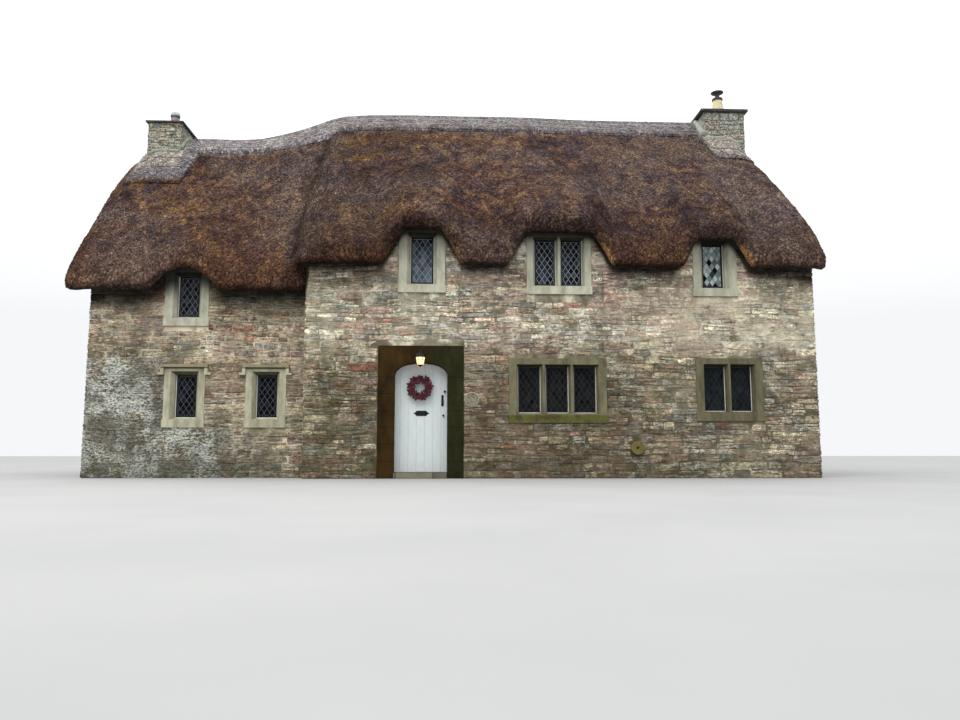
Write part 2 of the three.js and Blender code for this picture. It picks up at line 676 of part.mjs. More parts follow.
// A cylinder standing on z0
function post(cx, cy, z0, z1, r0, r1, segments) {
  const g = new THREE.CylinderGeometry(r1, r0, z1 - z0, segments);
  g.rotateX(Math.PI / 2);
  g.translate(cx, cy, (z0 + z1) / 2);
  return solid(g);
}

// A turned piece standing on z0, from radius and height pairs that run up outside and down the bore
function turned(profile, cx, z0, segments) {
  const closed = [...profile, profile[0]].map(([r, z]) => new THREE.Vector2(r, z));
  const g = new THREE.LatheGeometry(closed, segments);
  g.rotateX(Math.PI / 2);
  g.translate(cx, 0, z0);
  return solid(g);
}

const POT_LEFT = [
  [94, 0], [94, 60], [100, 70], [100, 110], [92, 122], [90, 262], [104, 268], [104, 296],
  [96, 334], [70, 362], [36, 376], [0, 380], [0, 345], [56, 325], [70, 275], [72, 0],
];
const POT_RIGHT = [
  [152, 0], [150, 150], [122, 235], [102, 385], [118, 395], [120, 430], [96, 442], [52, 460],
  [50, 528], [136, 566], [143, 582], [100, 602], [0, 612], [0, 580], [36, 545], [36, 460],
  [84, 375], [86, 0],
];
const potFoot = (s) => s.top + s.slab + FLAUNCH.rise + GAP;

// Door surround with a four-centred head, full depth of the wall, rebated for the leaf
function tudorArch(half, spring, apex) {
  const shape = new THREE.Shape();
  shape.moveTo(-half, -50);
  shape.lineTo(half, -50);
  shape.lineTo(half, spring);
  shape.quadraticCurveTo(half * 0.92, lerp(spring, apex, 0.62), half * 0.5, lerp(spring, apex, 0.84));
  shape.lineTo(0, apex);
  shape.lineTo(-half * 0.5, lerp(spring, apex, 0.84));
  shape.quadraticCurveTo(-half * 0.92, lerp(spring, apex, 0.62), -half, spring);
  return shape;
}

// A shape drawn in x and z, made solid from y0 to y1
function upright(shape, cx, y0, y1, curveSegments = 6) {
  const g = new THREE.ExtrudeGeometry(shape, { depth: y1 - y0, bevelEnabled: false, curveSegments });
  g.rotateX(Math.PI / 2);
  g.translate(cx, y1, 0);
  return solid(g);
}

function doorSurround() {
  const front = -MAIN_V - STONE_PROUD;
  const back = -MAIN_V + WALL;
  const raw = box(doorSides.left, doorSides.right, front, back, 0, DOOR.headTop);
  const way = upright(tudorArch(DOOR.opening / 2, DOOR.spring, DOOR.apex), DOOR.x, front - PAST, back + PAST);
  const wide = DOOR.opening / 2 + DOOR.rebate + DOOR.reveal;
  const rearFace = DOOR.leafY - DOOR.leafClear;
  const rear = box(DOOR.x - wide, DOOR.x + wide, rearFace, back + PAST, -PAST, DOOR.apex + 60);
  return cutAll(raw, [way, rear]);
}

// Strap hinges on the inner face: the leaf's eyes turn on pintles leaded into the reveal
const HINGE = {
  x: DOOR.x - DOOR.opening / 2 - DOOR.rebate,
  y: DOOR.leafY + DOOR.leafThick + 12,
  heights: [430, 1620],
  pin: 7,
  eye: 14,
  eyeTall: 44,
  strap: 620,
};

function doorLeaf() {
  const half = DOOR.opening / 2 + DOOR.rebate;
  const shape = tudorArch(half, DOOR.spring + 10, DOOR.apex + 45);
  const raw = upright(shape, DOOR.x, DOOR.leafY, DOOR.leafY + DOOR.leafThick);
  let leaf = raw.subtract(box(DOOR.x - 900, DOOR.x + 900, -4000, 0, -100, DOOR.stepTop + 8));
  for (const z of HINGE.heights) {
    const back = DOOR.leafY + DOOR.leafThick;
    const eye = post(HINGE.x, HINGE.y, z, z + HINGE.eyeTall, HINGE.eye, HINGE.eye, 12);
    const strap = box(HINGE.x, HINGE.x + HINGE.strap, back - 4, back + 8, z + 2, z + HINGE.eyeTall - 2);
    const bore = post(HINGE.x, HINGE.y, z - 5, z + HINGE.eyeTall + 5, HINGE.pin + GAP, HINGE.pin + GAP, 12);
    leaf = leaf.add(eye.add(strap)).subtract(bore);
  }
  return leaf;
}

function doorPintle(z) {
  const reveal = HINGE.x - DOOR.reveal;
  const pin = post(HINGE.x, HINGE.y, z - 14, z + HINGE.eyeTall + 6, HINGE.pin, HINGE.pin, 12);
  return pin.add(box(reveal + GAP, HINGE.x + 6, HINGE.y - 8, HINGE.y + 8, z - 22, z - GAP));
}

// Black iron on the outer face: a letter plate, a latch plate and two knobs
const LETTER_PLATE = { x: -535, z: 1126, w: 290, h: 92, thick: 9 };
const LATCH = { x: -166, z: 1350, w: 40, h: 196, thick: 8 };

function letterPlate() {
  const { x, z, w, h, thick } = LETTER_PLATE;
  const face = DOOR.leafY - GAP;
  const plate = box(x - w / 2, x + w / 2, face - thick, face, z - h / 2, z + h / 2);
  const flapHalf = w / 2 - 25;
  const flap = box(x - flapHalf, x + flapHalf, face - thick - 7, face - 2, z - h / 2 + 22, z + h / 2 - 16);
  return plate.add(flap);
}

function latchPlate() {
  const { x, z, w, h, thick } = LATCH;
  const face = DOOR.leafY - GAP;
  const plate = box(x - w / 2, x + w / 2, face - thick, face, z - h / 2, z + h / 2);
  const grip = box(x - 8, x + 8, face - 42, face - 30, z - 66, z + 70);
  const stubs = [-60, 64].map((up) => box(x - 8, x + 8, face - 32, face - 4, z + up - 6, z + up + 6));
  return joined([plate, grip, ...stubs]);
}

function doorStep() {
  const half = DOOR.opening / 2 - GAP;
  const wide = DOOR.opening / 2 + DOOR.rebate + DOOR.reveal - GAP;
  const tread = box(DOOR.x - half, DOOR.x + half, -MAIN_V - DOOR.stepOut, DOOR.leafY, 0, DOOR.stepTop);
  const inner = box(DOOR.x - wide, DOOR.x + wide, DOOR.leafY - 1, -MAIN_V + WALL - GAP, 0, DOOR.stepTop);
  return tread.add(inner);
}

// Wreath on the leaf: a ring hung from a short peg
const WREATH = { x: -560, z: 1570, ring: 165, tube: 72 };
function wreath() {
  const y = DOOR.leafY - GAP - WREATH.tube + 12;
  const torus = new THREE.TorusGeometry(WREATH.ring, WREATH.tube, 7, 16);
  torus.rotateX(Math.PI / 2);
  torus.translate(WREATH.x, y, WREATH.z);
  const trimmed = solid(torus).subtract(box(-1500, 500, DOOR.leafY - GAP, -2000, 800, 2500));
  const pegZ = WREATH.z + WREATH.ring + WREATH.tube;
  return trimmed.add(box(WREATH.x - 8, WREATH.x + 8, y - 10, DOOR.leafY - GAP, pegZ - 40, pegZ + 12));
}

// Coach lamp on a back plate over the door
const LAMP = {
  x: -550,
  z: 2030,
  reach: 110,
  tall: 170,
  head: 88,
  foot: 62,
  hood: 104,
  hoodTall: 75,
  sides: 6,
};
function wallLamp() {
  const face = -MAIN_V - STONE_PROUD - GAP;
  const y = face - LAMP.reach;
  const head = LAMP.z + LAMP.tall / 2;
  const foot = LAMP.z - LAMP.tall / 2;
  const barrel = post(LAMP.x, y, foot, head, LAMP.foot, LAMP.head, LAMP.sides);
  const hood = post(LAMP.x, y, head - 2, head - 2 + LAMP.hoodTall, LAMP.hood, 14, LAMP.sides);
  const tip = post(LAMP.x, y, head + LAMP.hoodTall - 6, head + LAMP.hoodTall + 27, 14, 8, LAMP.sides);
  const base = post(LAMP.x, y, foot - 33, foot + 1, 20, LAMP.head * 0.75, LAMP.sides);
  const plate = box(LAMP.x - 45, LAMP.x + 45, face - 14, face, LAMP.z + 20, LAMP.z + 210);
  const arm = box(LAMP.x - 10, LAMP.x + 10, y - 5, face - 5, LAMP.z + 140, LAMP.z + 160);
  return joined([barrel, hood, tip, base, plate, arm]);
}

// Round stones in the front wall: a bare disc by the door and a small quern stone low down
function disc(cx, z, radius, proud, depth, bore) {
  const round = (r, y0, y1) => {
    const g = new THREE.CylinderGeometry(r, r, y1 - y0, 20);
    g.translate(cx, (y0 + y1) / 2, z);
    return solid(g);
  };
  const made = round(radius, -MAIN_V - proud, -MAIN_V + depth - GAP);
  return bore ? made.subtract(round(bore, -MAIN_V - proud - 5, -MAIN_V + depth * 0.5)) : made;
}
const PLAQUE = { x: 345, z: 1360, r: 130, proud: 22 };
const QUERN = { x: 3235, z: 520, r: 118, proud: 70, depth: 40, bore: 22 };

function quernSeat() {
  const g = new THREE.CylinderGeometry(QUERN.r + GAP, QUERN.r + GAP, 100, 20);
  g.translate(QUERN.x, -MAIN_V + QUERN.depth - 50, QUERN.z);
  return solid(g);
}

const MATERIALS = {
  rubble: { color: 0x9c8b78, roughness: 0.95 },
  dressed: { color: 0xa9a58c, roughness: 0.9 },
  doorStone: { color: 0x6f5a3c, roughness: 0.9 },
  thatch: { color: 0x5f3f28, roughness: 1 },
  ridge: { color: 0x8a7f74, roughness: 1 },
  boards: { color: 0x7a5a3a, roughness: 0.8 },
  flags: { color: 0x77736a, roughness: 0.9 },
  slab: { color: 0x3f4145, roughness: 0.8 },
  clay: { color: 0xc9b070, roughness: 0.8 },
  paint: { color: 0xdfe3e2, roughness: 0.45 },
  glazing: { color: 0x1b2026, roughness: 0.15 },
  iron: { color: 0x1c1c1e, roughness: 0.5, metalness: 0.6 },
  berries: { color: 0x6d1022, roughness: 0.5 },
  oldStone: { color: 0xa79f88, roughness: 0.95 },
};

const cottage = new THREE.Group();
cottage.name = "cottage";

function put(group, name, body, material) {
  const { color, roughness, metalness = 0 } = MATERIALS[material];
  const finish = new THREE.MeshStandardMaterial({ color, roughness, metalness });
  const mesh = new THREE.Mesh(geometryOf(body), finish);
  mesh.name = name;
  group.add(mesh);
}

function addWalls(group) {
  put(group, "main_front_wall_left", mainFrontLeft(), "rubble");
  put(group, "main_front_wall_over_door", mainFrontOverDoor(), "rubble");
  put(group, "main_front_wall_right", mainFrontRight().subtract(quernSeat()), "rubble");
  put(group, "main_back_wall", mainBack(), "rubble");
  put(group, "wing_front_wall", wingWall("wingFront", -1), "rubble");
  put(group, "wing_back_wall", wingWall("wingBack", 1), "rubble");
  const { left, right } = STACKS;
  const leftGable = gableWall(left.x0, left.x1, left.foot, WING_V, "wingFront", "wingBack");
  const rightGable = gableWall(right.x0, END_X, right.foot, MAIN_V, "mainFront", "mainBack");
  put(group, "left_gable_wall", leftGable, "rubble");
  put(group, "right_gable_wall", rightGable, "rubble");
  put(group, "ground_floor", floorPlate(0, FLOOR_TOP, true, true), "flags");
  put(group, "main_upper_floor", floorPlate(MAIN_UPPER.bottom, MAIN_UPPER.top, false, true), "boards");
  put(group, "wing_upper_floor", floorPlate(WING_UPPER.bottom, WING_UPPER.top, true, false), "boards");
}

function addRoof(group) {
  put(group, "wing_thatch_front", wingThatch("wingFront"), "thatch");
  put(group, "wing_thatch_back", wingThatch("wingBack"), "thatch");
  put(group, "main_thatch_front", mainThatch("mainFront", "wingFront"), "thatch");
  put(group, "main_thatch_back", mainThatch("mainBack", "wingBack"), "thatch");
  put(group, "ridge_cap", ridgeCap(), "ridge");
}

function addStacks(group) {
  for (const [side, s] of Object.entries(STACKS)) {
    put(group, `${side}_chimney_stack`, stackBody(s), "rubble");
    put(group, `${side}_chimney_slab`, stackSlab(s), "slab");
    const profile = side === "left" ? POT_LEFT : POT_RIGHT;
    put(group, `${side}_chimney_pot`, turned(profile, s.pot, potFoot(s), 14), "clay");
  }
}

function addDoor(group) {
  put(group, "door_surround", doorSurround(), "doorStone");
  put(group, "door_step", doorStep(), "flags");
  put(group, "door_leaf", doorLeaf(), "paint");
  put(group, "door_pintle_lower", doorPintle(HINGE.heights[0]), "iron");
  put(group, "door_pintle_upper", doorPintle(HINGE.heights[1]), "iron");
  put(group, "door_letter_plate", letterPlate(), "iron");
  put(group, "door_latch", latchPlate(), "iron");
  put(group, "door_wreath", wreath(), "berries");
  put(group, "wall_lamp", wallLamp(), "iron");
  put(group, "round_plaque", disc(PLAQUE.x, PLAQUE.z, PLAQUE.r, PLAQUE.proud, 0, 0), "oldStone");
  const { x, z, r, proud, depth, bore } = QUERN;
  put(group, "quern_stone", disc(x, z, r, proud, depth, bore), "oldStone");
}

function addWindows(group) {
  for (const w of WINDOWS) {
    put(group, `window_stone_${w.name}`, windowStone(w), "dressed");
    put(group, `window_glazing_${w.name}`, windowGlazing(w), "glazing");
  }
}

addWalls(cottage);
addRoof(cottage);
addStacks(cottage);
addDoor(cottage);
addWindows(cottage);

export default cottage;
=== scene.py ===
# Looks of a thatched stone cottage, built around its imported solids. Metres, +Z up, the front towards -Y.
import json
import math

import bmesh
import bpy
import numpy as np
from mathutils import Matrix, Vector
from mathutils.bvhtree import BVHTree


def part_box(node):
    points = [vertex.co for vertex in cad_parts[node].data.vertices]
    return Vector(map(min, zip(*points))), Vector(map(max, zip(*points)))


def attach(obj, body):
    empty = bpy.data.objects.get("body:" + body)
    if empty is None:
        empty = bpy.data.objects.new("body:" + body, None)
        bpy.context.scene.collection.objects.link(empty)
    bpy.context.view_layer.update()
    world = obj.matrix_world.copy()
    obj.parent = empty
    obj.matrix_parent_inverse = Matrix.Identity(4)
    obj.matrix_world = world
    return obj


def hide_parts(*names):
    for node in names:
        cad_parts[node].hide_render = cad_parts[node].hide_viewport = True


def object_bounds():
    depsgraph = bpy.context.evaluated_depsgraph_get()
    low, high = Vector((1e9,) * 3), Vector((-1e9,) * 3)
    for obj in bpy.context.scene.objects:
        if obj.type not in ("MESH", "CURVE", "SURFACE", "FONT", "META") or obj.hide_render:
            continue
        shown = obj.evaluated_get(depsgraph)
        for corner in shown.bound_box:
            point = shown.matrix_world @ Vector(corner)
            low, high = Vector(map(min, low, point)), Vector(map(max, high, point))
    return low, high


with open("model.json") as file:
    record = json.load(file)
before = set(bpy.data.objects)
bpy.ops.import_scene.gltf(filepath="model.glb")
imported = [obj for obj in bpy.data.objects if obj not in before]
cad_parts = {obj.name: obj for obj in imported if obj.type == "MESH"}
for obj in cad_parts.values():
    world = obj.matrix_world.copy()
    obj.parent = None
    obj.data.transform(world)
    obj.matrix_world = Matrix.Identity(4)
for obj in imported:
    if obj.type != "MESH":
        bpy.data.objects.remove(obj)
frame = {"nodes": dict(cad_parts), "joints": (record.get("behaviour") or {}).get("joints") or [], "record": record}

cad_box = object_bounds()
solids = frame["nodes"]

# Camera, fitted to the level eaves, sills and ridge of the reference view
CAMERA_AT = (-0.125, -16.7, 0.49)
CAMERA_YAW = math.radians(2.6)
CAMERA_PITCH = math.radians(6.6)
CAMERA_FOCUS = 776 / 960  # focal length over the picture's width
SENSOR = 36

SKY = {"front": 0.45, "behind": 0.95, "overhead": 2.1}  # the soft sky's light near the horizon and overhead
KEY = 1300  # watts of the large soft lamp
KEY_AT, KEY_TO = (-5, -11, 15), (0, 0, 3)
FLOOR_HALF = 45

WELD = 0.0001  # points nearer than this are one

# Thatch
VOXEL = 0.078
CAP_EDGE = 0.022  # how far the ridge cap's arrises are rounded
PULL = 0.65  # share of the way back to its solid that the softened coat is drawn
INSET = 0.004  # the smooth coat lies this far inside its solid, to leave room for the straw
STRAW = {"per_m2": 900, "length": (0.03, 0.085), "width": (0.010, 0.022), "lift": (0.003, 0.012)}
BACK_STRAW = {**STRAW, "per_m2": 300}
CAP_STRAW = {"per_m2": 750, "length": (0.05, 0.11), "width": (0.008, 0.016), "lift": (0.0, 0.004)}
LIT_REVEALS = ((0.05, 0.3), (2.66, 0.9), (5.16, 1.0))  # where cut straw shows beside a window, and how fresh
ROD = 0.007  # radius of a split hazel rod
CAP_ENDS = (-5.40, 5.42)
CAP_RODS = (0.34, 0.68)  # shares of the cap's half width
DARK_ROD, PALE_ROD, SPAR = (0.25, 0.22, 0.2), (0.6, 0.57, 0.52), (0.8, 0.8, 0.82)
# Rods across the aprons: from and to along the ridge, upper and lower row, and the spars' tone
APRON_RODS = ((-6.5, -5.52, 0.71, 0.92, PALE_ROD), (5.55, 6.42, 0.93, 1.14, DARK_ROD))

# Rubble
COURSE = (0.08, 0.15)
COURSES_TOP = 8.0
SPLIT_OVER = 0.1  # taller courses may hold two stones, one on the other
STONE_LENGTH = (0.14, 0.62)
STACK_SIZE = 0.6  # the chimneys' stones are that much shorter
BED, END = (0.004, 0.017), (0.001, 0.007)  # joints under and beside a stone
PROUD = (0.002, 0.014)
EMBED = 0.012
SAMPLE = 0.02
PROBE = 0.05  # rays that look for bare wall start so far in front of it
# Shade under the eaves: metres below the thatch and share of light left, and how much faster it fades than
# that on the wing, under the noses of the thatch and under the eyebrows
EAVE_SHADE = ((0.0, 0.08), (0.16, 0.09), (0.23, 0.27), (0.3, 0.54), (0.37, 0.8), (0.45, 1.0))
EAVE_REACH = (0.75, 1.0, 2.1)
EAVE_PROBES, EAVE_POINTS = 300, 30  # rays along a wall that find its eave, and points kept of them
SHADED = 0.12  # the eave is found so far in front of the wall
USUAL_EAVE = 3.7

# Leaded lights: how many in each window, how wide, and the painted reflection in the panes: the share of sky at
# the sill and at the head, its spread and colour, and the leads' lightness, partly wear and partly a painted sheen
DARK_PANES = (0.05, 0.0, 0.05, (90, 100, 108), 0.25)
LIGHTS = {
    "main_upper_left": (1, 0.430, (0.8, 0.05, 0.15, (112, 130, 142), 1.3)),
    "main_upper_middle": (2, 0.399, (0.26, 0.04, 0.2, (84, 98, 108), 1.6)),
    "main_upper_right": (1, 0.405, (0.38, 0.72, 0.4, (206, 226, 226), 0.22)),
    "main_lower_middle": (3, 0.415, (0.16, 0.1, 0.07, (78, 80, 74), 0.12)),
    "main_lower_right": (2, 0.399, (0.22, 0.14, 0.07, (72, 84, 84), 0.1)),
    "wing_upper": (1, 0.395, (0.12, 0.06, 0.1, (110, 120, 130), 0.8)),
    "wing_lower_left": (1, 0.385, (0.05, 0.0, 0.08, (80, 90, 100), 0.42)),
    "wing_lower_right": (1, 0.385, (0.05, 0.0, 0.08, (80, 90, 100), 0.42)),
    "back_upper_left": (2, 0.389, DARK_PANES),
    "back_upper_right": (2, 0.389, DARK_PANES),
    "back_lower": (3, 0.415, DARK_PANES),
    "wing_back_upper": (1, 0.395, DARK_PANES),
}
MULLION = 0.08
REBATE = 0.0247  # how far the glazing reaches behind the stone
GLASS_NIGHT = (6, 9, 15)
QUARRY = (0.101, 0.147)
CAME = 0.006
CASEMENT = {"width": 0.027, "mastic": 0.015, "depth": 0.034, "glass": 0.016}
PANE = 0.004

# Front door
DOOR_THICK = 0.05
PLANKS = 7
LEDGES = (0.30, 0.95, 1.47)
STRAPS = (0.43, 1.62)
NAILS = (0.1, 0.24, 0.38, 0.52)
HINGE_STILE = 0.015  # the planks stop so far short of the leaf's edge, beside the pintles
WREATH = {"height": 1.570, "ring": 0.156, "thick": 0.07, "rosettes": 9, "berries": 70}
LAMP_SIDES = 6


def srgb(r, g, b):
    """A colour given as it looks on a screen, 0 to 255, as linear light."""
    return tuple(((c / 255 + 0.055) / 1.055) ** 2.4 if c > 10 else c / 255 / 12.92 for c in (r, g, b))


def ease(value, start, end):
    """A soft step from 0 at the start to 1 at the end, which may lie below it."""
    t = np.clip((value - start) / (end - start), 0, 1)
    return t * t * (3 - 2 * t)


def lumps(points, size, seed):
    """Soft unevenness between about -1 and 1, with hollows and swellings of that size."""
    draw = np.random.default_rng(seed)
    total = np.zeros(len(points))
    for _ in range(7):
        way = draw.normal(size=3)
        way /= np.linalg.norm(way)
        length = size * draw.uniform(1.4, 2.6)
        total += np.sin(points @ way * (2 * math.pi / length) + draw.uniform(0, 6.3))
    return total / 3.2


def circle(count):
    return [2 * math.pi * k / count for k in range(count)]


def assign(thing, **settings):
    """Gives a thing these settings, and hands it back."""
    for key, value in settings.items():
        setattr(thing, key, value)
    return thing


# Meshes
def mesh_of(name, points, faces, tone=None):
    """A mesh from an (n, 3) array of points and arrays of faces, each array with one number of corners."""
    mesh = bpy.data.meshes.new(name)
    points = np.asarray(points, np.float32)
    groups = [np.asarray(group, np.int32) for group in faces]
    corners = np.concatenate([group.ravel() for group in groups])
    counts = np.concatenate([np.full(len(group), group.shape[1]) for group in groups])
    mesh.vertices.add(len(points))
    mesh.vertices.foreach_set("co", points.ravel())
    mesh.loops.add(len(corners))
    mesh.loops.foreach_set("vertex_index", corners)
    mesh.polygons.add(len(counts))
    mesh.polygons.foreach_set("loop_start", np.concatenate([[0], np.cumsum(counts)[:-1]]).astype(np.int32))
    mesh.update(calc_edges=True)
    if tone is not None:
        paint(mesh, tone)
    return mesh


def paint(mesh, tone):
    """Keeps a value or colour for each point in the attribute that the looks read."""
    values = np.ones((len(mesh.vertices), 4), np.float32)
    values[:, :3] = np.asarray(tone)
    mesh.attributes.new("tone", "FLOAT_COLOR", "POINT").data.foreach_set("color", values.ravel())


def placed(name, data):
    """An object in the scene that holds this data."""
    made = bpy.data.objects.new(name, data)
    bpy.context.scene.collection.objects.link(made)
    return made


def piece(name, mesh, look, slot=None, body="house", smooth=False, replaces=()):
    """Puts a mesh on a body, with its look; the slot that it is given is not used."""
    made = placed(name, mesh)
    mesh.materials.clear()
    mesh.materials.append(LOOKS[look])
    mesh.polygons.foreach_set("use_smooth", [smooth] * len(mesh.polygons))
    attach(made, body)
    slot or look
    if replaces:
        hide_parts(*replaces)


class Shape:
    """Points and faces gathered from simple closed forms."""

    def __init__(self):
        self.points, self.faces, self.tones = [], [], []

    def loft(self, rings, tone=(1, 1, 1)):
        """A closed form through rings of equally many points, capped at both ends."""
        n, first = len(rings[0]), len(self.points)
        self.points += [tuple(p) for ring in rings for p in ring]
        self.tones += [tone] * (n * len(rings))
        last = len(self.points) - n
        for start in range(first, last, n):
            for j in range(n):
                a, b = start + j, start + (j + 1) % n
                self.faces.append((a, b, b + n, a + n))
        self.faces += [tuple(reversed(range(first, first + n))), tuple(range(last, last + n))]

    def block(self, low, high, bevel=0.0):
        """A box between two corners, with its edges cut back by the bevel."""
        (x0, y0, z0), (x1, y1, z1) = low, high
        k = bevel
        heights = ((z0, k), (z0 + k, 0), (z1 - k, 0), (z1, k)) if k else ((z0, 0), (z1, 0))
        rings = []
        for z, inset in heights:
            a, b, c, d = x0 + inset, x1 - inset, y0 + inset, y1 - inset
            corners = [(a, c, z), (b, c, z), (b, d, z), (a, d, z)]
            if k:
                corners = [(a + k, c, z), (b - k, c, z), (b, c + k, z), (b, d - k, z),
                           (b - k, d, z), (a + k, d, z), (a, d - k, z), (a, c + k, z)]
            rings.append(corners)
        self.loft(rings)

    def bar(self, start, end, width, thick, out, tone=(1, 1, 1)):
        """A flat bar between two points, thick towards out and wide across it."""
        start, end, out = Vector(start), Vector(end), Vector(out).normalized()
        side = (end - start).cross(out).normalized() * (width / 2)
        lift = out * (thick / 2)
        corners = (-side - lift, side - lift, side + lift, lift - side)
        self.loft([[p + corner for corner in corners] for p in (start, end)], tone)

    def tube(self, path, radius, sides=6, tone=(1, 1, 1)):
        """A round rod along a path, with a radius or one radius a point."""
        path = [Vector(p) for p in path]
        radii = radius if hasattr(radius, "__len__") else [radius] * len(path)
        rings = []
        across = None
        for k, p in enumerate(path):
            way = (path[min(k + 1, len(path) - 1)] - path[max(k - 1, 0)]).normalized()
            if across is None:
                across = way.orthogonal().normalized()
            across = (across - way * across.dot(way)).normalized()
            other = way.cross(across)
            spokes = [across * math.cos(a) + other * math.sin(a) for a in circle(sides)]
            rings.append([p + spoke * radii[k] for spoke in spokes])
        self.loft(rings, tone)

    def lathe(self, profile, centre, segments, tone=(1, 1, 1), facing=0):
        """A turned form from radius and height pairs, standing on its centre, or lying towards -Y or +Y."""
        cx, cy, cz = centre
        rings = []
        for r, h in profile:
            spots = [(r * math.cos(a), r * math.sin(a)) for a in circle(segments)]
            if facing:
                rings.append([(cx + u, cy + facing * h, cz + v) for u, v in spots])
            else:
                rings.append([(cx + u, cy + v, cz + h) for u, v in spots])
        self.loft(rings, tone)

    def piece(self, name, look, slot=None, **settings):
        """Closes the shape as a mesh with its faces outwards, and makes a piece of it."""
        mesh = bpy.data.meshes.new(name)
        mesh.from_pydata(self.points, [], self.faces)
        paint(mesh, self.tones)
        work = bmesh.new()
        work.from_mesh(mesh)
        bmesh.ops.recalc_face_normals(work, faces=work.faces)
        work.to_mesh(mesh)
        work.free()
        piece(name, mesh, look, slot, **settings)


def read(items, key, width, kind=np.float32):
    """One property of all these parts of a mesh, as rows of that width."""
    values = np.empty(len(items) * width, kind)
    items.foreach_get(key, values)
    return values.reshape(-1, width)


def triangles(mesh):
    """The points of a mesh and its triangles, as arrays."""
    mesh.calc_loop_triangles()
    return read(mesh.vertices, "co", 3).astype(float), read(mesh.loop_triangles, "vertices", 3, np.int32)


def tree_of(*meshes):
    """What rays are cast on: all these meshes and solids, given by name, as one."""
    points, faces, count = [], [], 0
    for mesh in meshes:
        p, f = triangles(solids[mesh].data if isinstance(mesh, str) else mesh)
        points.append(p)
        faces.append(f + count)
        count += len(p)
    return BVHTree.FromPolygons(np.concatenate(points).tolist(), np.concatenate(faces).tolist())


def dropped(tree, x, y, start=12):
    """Where a plumb line from above meets a tree, and the normal there, or None for both."""
    return tree.ray_cast(Vector((x, y, start)), Vector((0, 0, -1)))[:2]


# Materials
class Nodes:
    """A node tree, built up by calls that each return a node or its output."""

    def __init__(self, tree):
        self.tree = tree

    def put(self, socket, value):
        if isinstance(value, bpy.types.NodeSocket):
            self.tree.links.new(value, socket)
        elif hasattr(value, "__len__") and len(socket.default_value) == 4:
            socket.default_value = (*value[:3], 1)
        else:
            socket.default_value = value

    def node(self, kind, inputs=None, **settings):
        made = assign(self.tree.nodes.new("ShaderNode" + kind), **settings)
        for key, value in (inputs or {}).items():
            self.put(made.inputs[key], value)
        return made


class Look(Nodes):
    """A procedural material, whose base colour is changed by one call after another."""

    def __init__(self, name, roughness=0.9, metallic=0.0, specular=0.3):
        self.material = bpy.data.materials.new(name)
        self.material.use_nodes = True
        super().__init__(self.material.node_tree)
        self.shader = self.tree.nodes["Principled BSDF"]
        self.shader.inputs["Roughness"].default_value = roughness
        self.shader.inputs["Metallic"].default_value = metallic
        self.shader.inputs["Specular IOR Level"].default_value = specular
        self.where = self.node("TexCoord").outputs["Object"]
        self.axes = self.node("SeparateXYZ", {"Vector": self.where}).outputs[:3]
        self.tone = self.node("Attribute", attribute_name="tone").outputs["Color"]
        self.base = self.normal = None

    def stretched(self, stretch):
        if not stretch:
            return self.where
        return self.node("Mapping", {"Vector": self.where, "Scale": stretch}).outputs[0]

    def noise(self, scale, detail=3.0, rough=0.55, stretch=None, distort=0.0):
        inputs = {"Vector": self.stretched(stretch), "Scale": scale, "Detail": detail, "Roughness": rough,
                  "Distortion": distort}
        return self.node("TexNoise", inputs).outputs["Fac"]

    def ramp(self, value, *stops):
        """Colours by value, each given as linear light or as one grey number."""
        made = self.node("ValToRGB", {"Fac": value})
        elements = made.color_ramp.elements
        while len(elements) < len(stops):
            elements.new(0.5)
        for element, (at, colour) in zip(elements, stops):
            element.position = at
            element.color = (*(colour if hasattr(colour, "__len__") else (colour,) * 3), 1)
        return made.outputs["Color"]

    def screen(self, value, *stops):
        """Colours by value, each given as it looks on a screen."""
        return self.ramp(value, *((at, srgb(*colour)) for at, colour in stops))

    def mix(self, share, a, b, how="MIX"):
        return self.node("Mix", {0: share, 6: a, 7: b}, data_type="RGBA", blend_type=how).outputs[2]

    def calc(self, how, a, b=0.0, clamp=False):
        return self.node("Math", {0: a, 1: b}, operation=how, use_clamp=clamp).outputs[0]

    def plus(self, a, b):
        return self.calc("ADD", a, b)

    def less(self, a, b):
        return self.calc("SUBTRACT", a, b)

    def times(self, total=1.0, *values):
        """The product of the values, or 1 for none."""
        for value in values:
            total = self.calc("MULTIPLY", total, value)
        return total

    def band(self, value, low, high):
        """0 below low and 1 above high, with a soft step between; or the other way round."""
        inputs = {"Value": value, "From Min": low, "From Max": high}
        return self.node("MapRange", inputs, interpolation_type="SMOOTHSTEP").outputs[0]

    def parts(self, colour):
        return self.node("SeparateColor", {"Color": colour}).outputs

    def tint(self, colour, *shares):
        """Covers the base with a colour, as far as the product of the shares says."""
        colour = colour if isinstance(colour, bpy.types.NodeSocket) else srgb(*colour)
        self.base = self.mix(self.times(*shares), self.base, colour)

    def scale(self, factor, *shares):
        """Multiplies the base, wholly or as far as the product of the shares says."""
        self.base = self.mix(self.times(*shares), self.base, factor, "MULTIPLY")

    def bump(self, height, distance, strength=1.0):
        inputs = {"Height": height, "Distance": distance, "Strength": strength}
        if self.normal is not None:
            inputs["Normal"] = self.normal
        self.normal = self.node("Bump", inputs).outputs[0]

    def done(self):
        self.put(self.shader.inputs["Base Color"], self.base)
        if self.normal is not None:
            self.put(self.shader.inputs["Normal"], self.normal)
        return self.material


def plain_look(name, noise, low, high, relief=None, toned=False, **shader):
    """One noise between two colours, with its own relief; a toned look takes each point's tone as well."""
    look = Look(name, **shader)
    grain = look.noise(*noise)
    look.base = look.ramp(grain, (0.3, low), (0.7, high))
    if relief:
        look.bump(grain, *relief)
    if toned:
        look.scale(look.tone)
    return look.done()


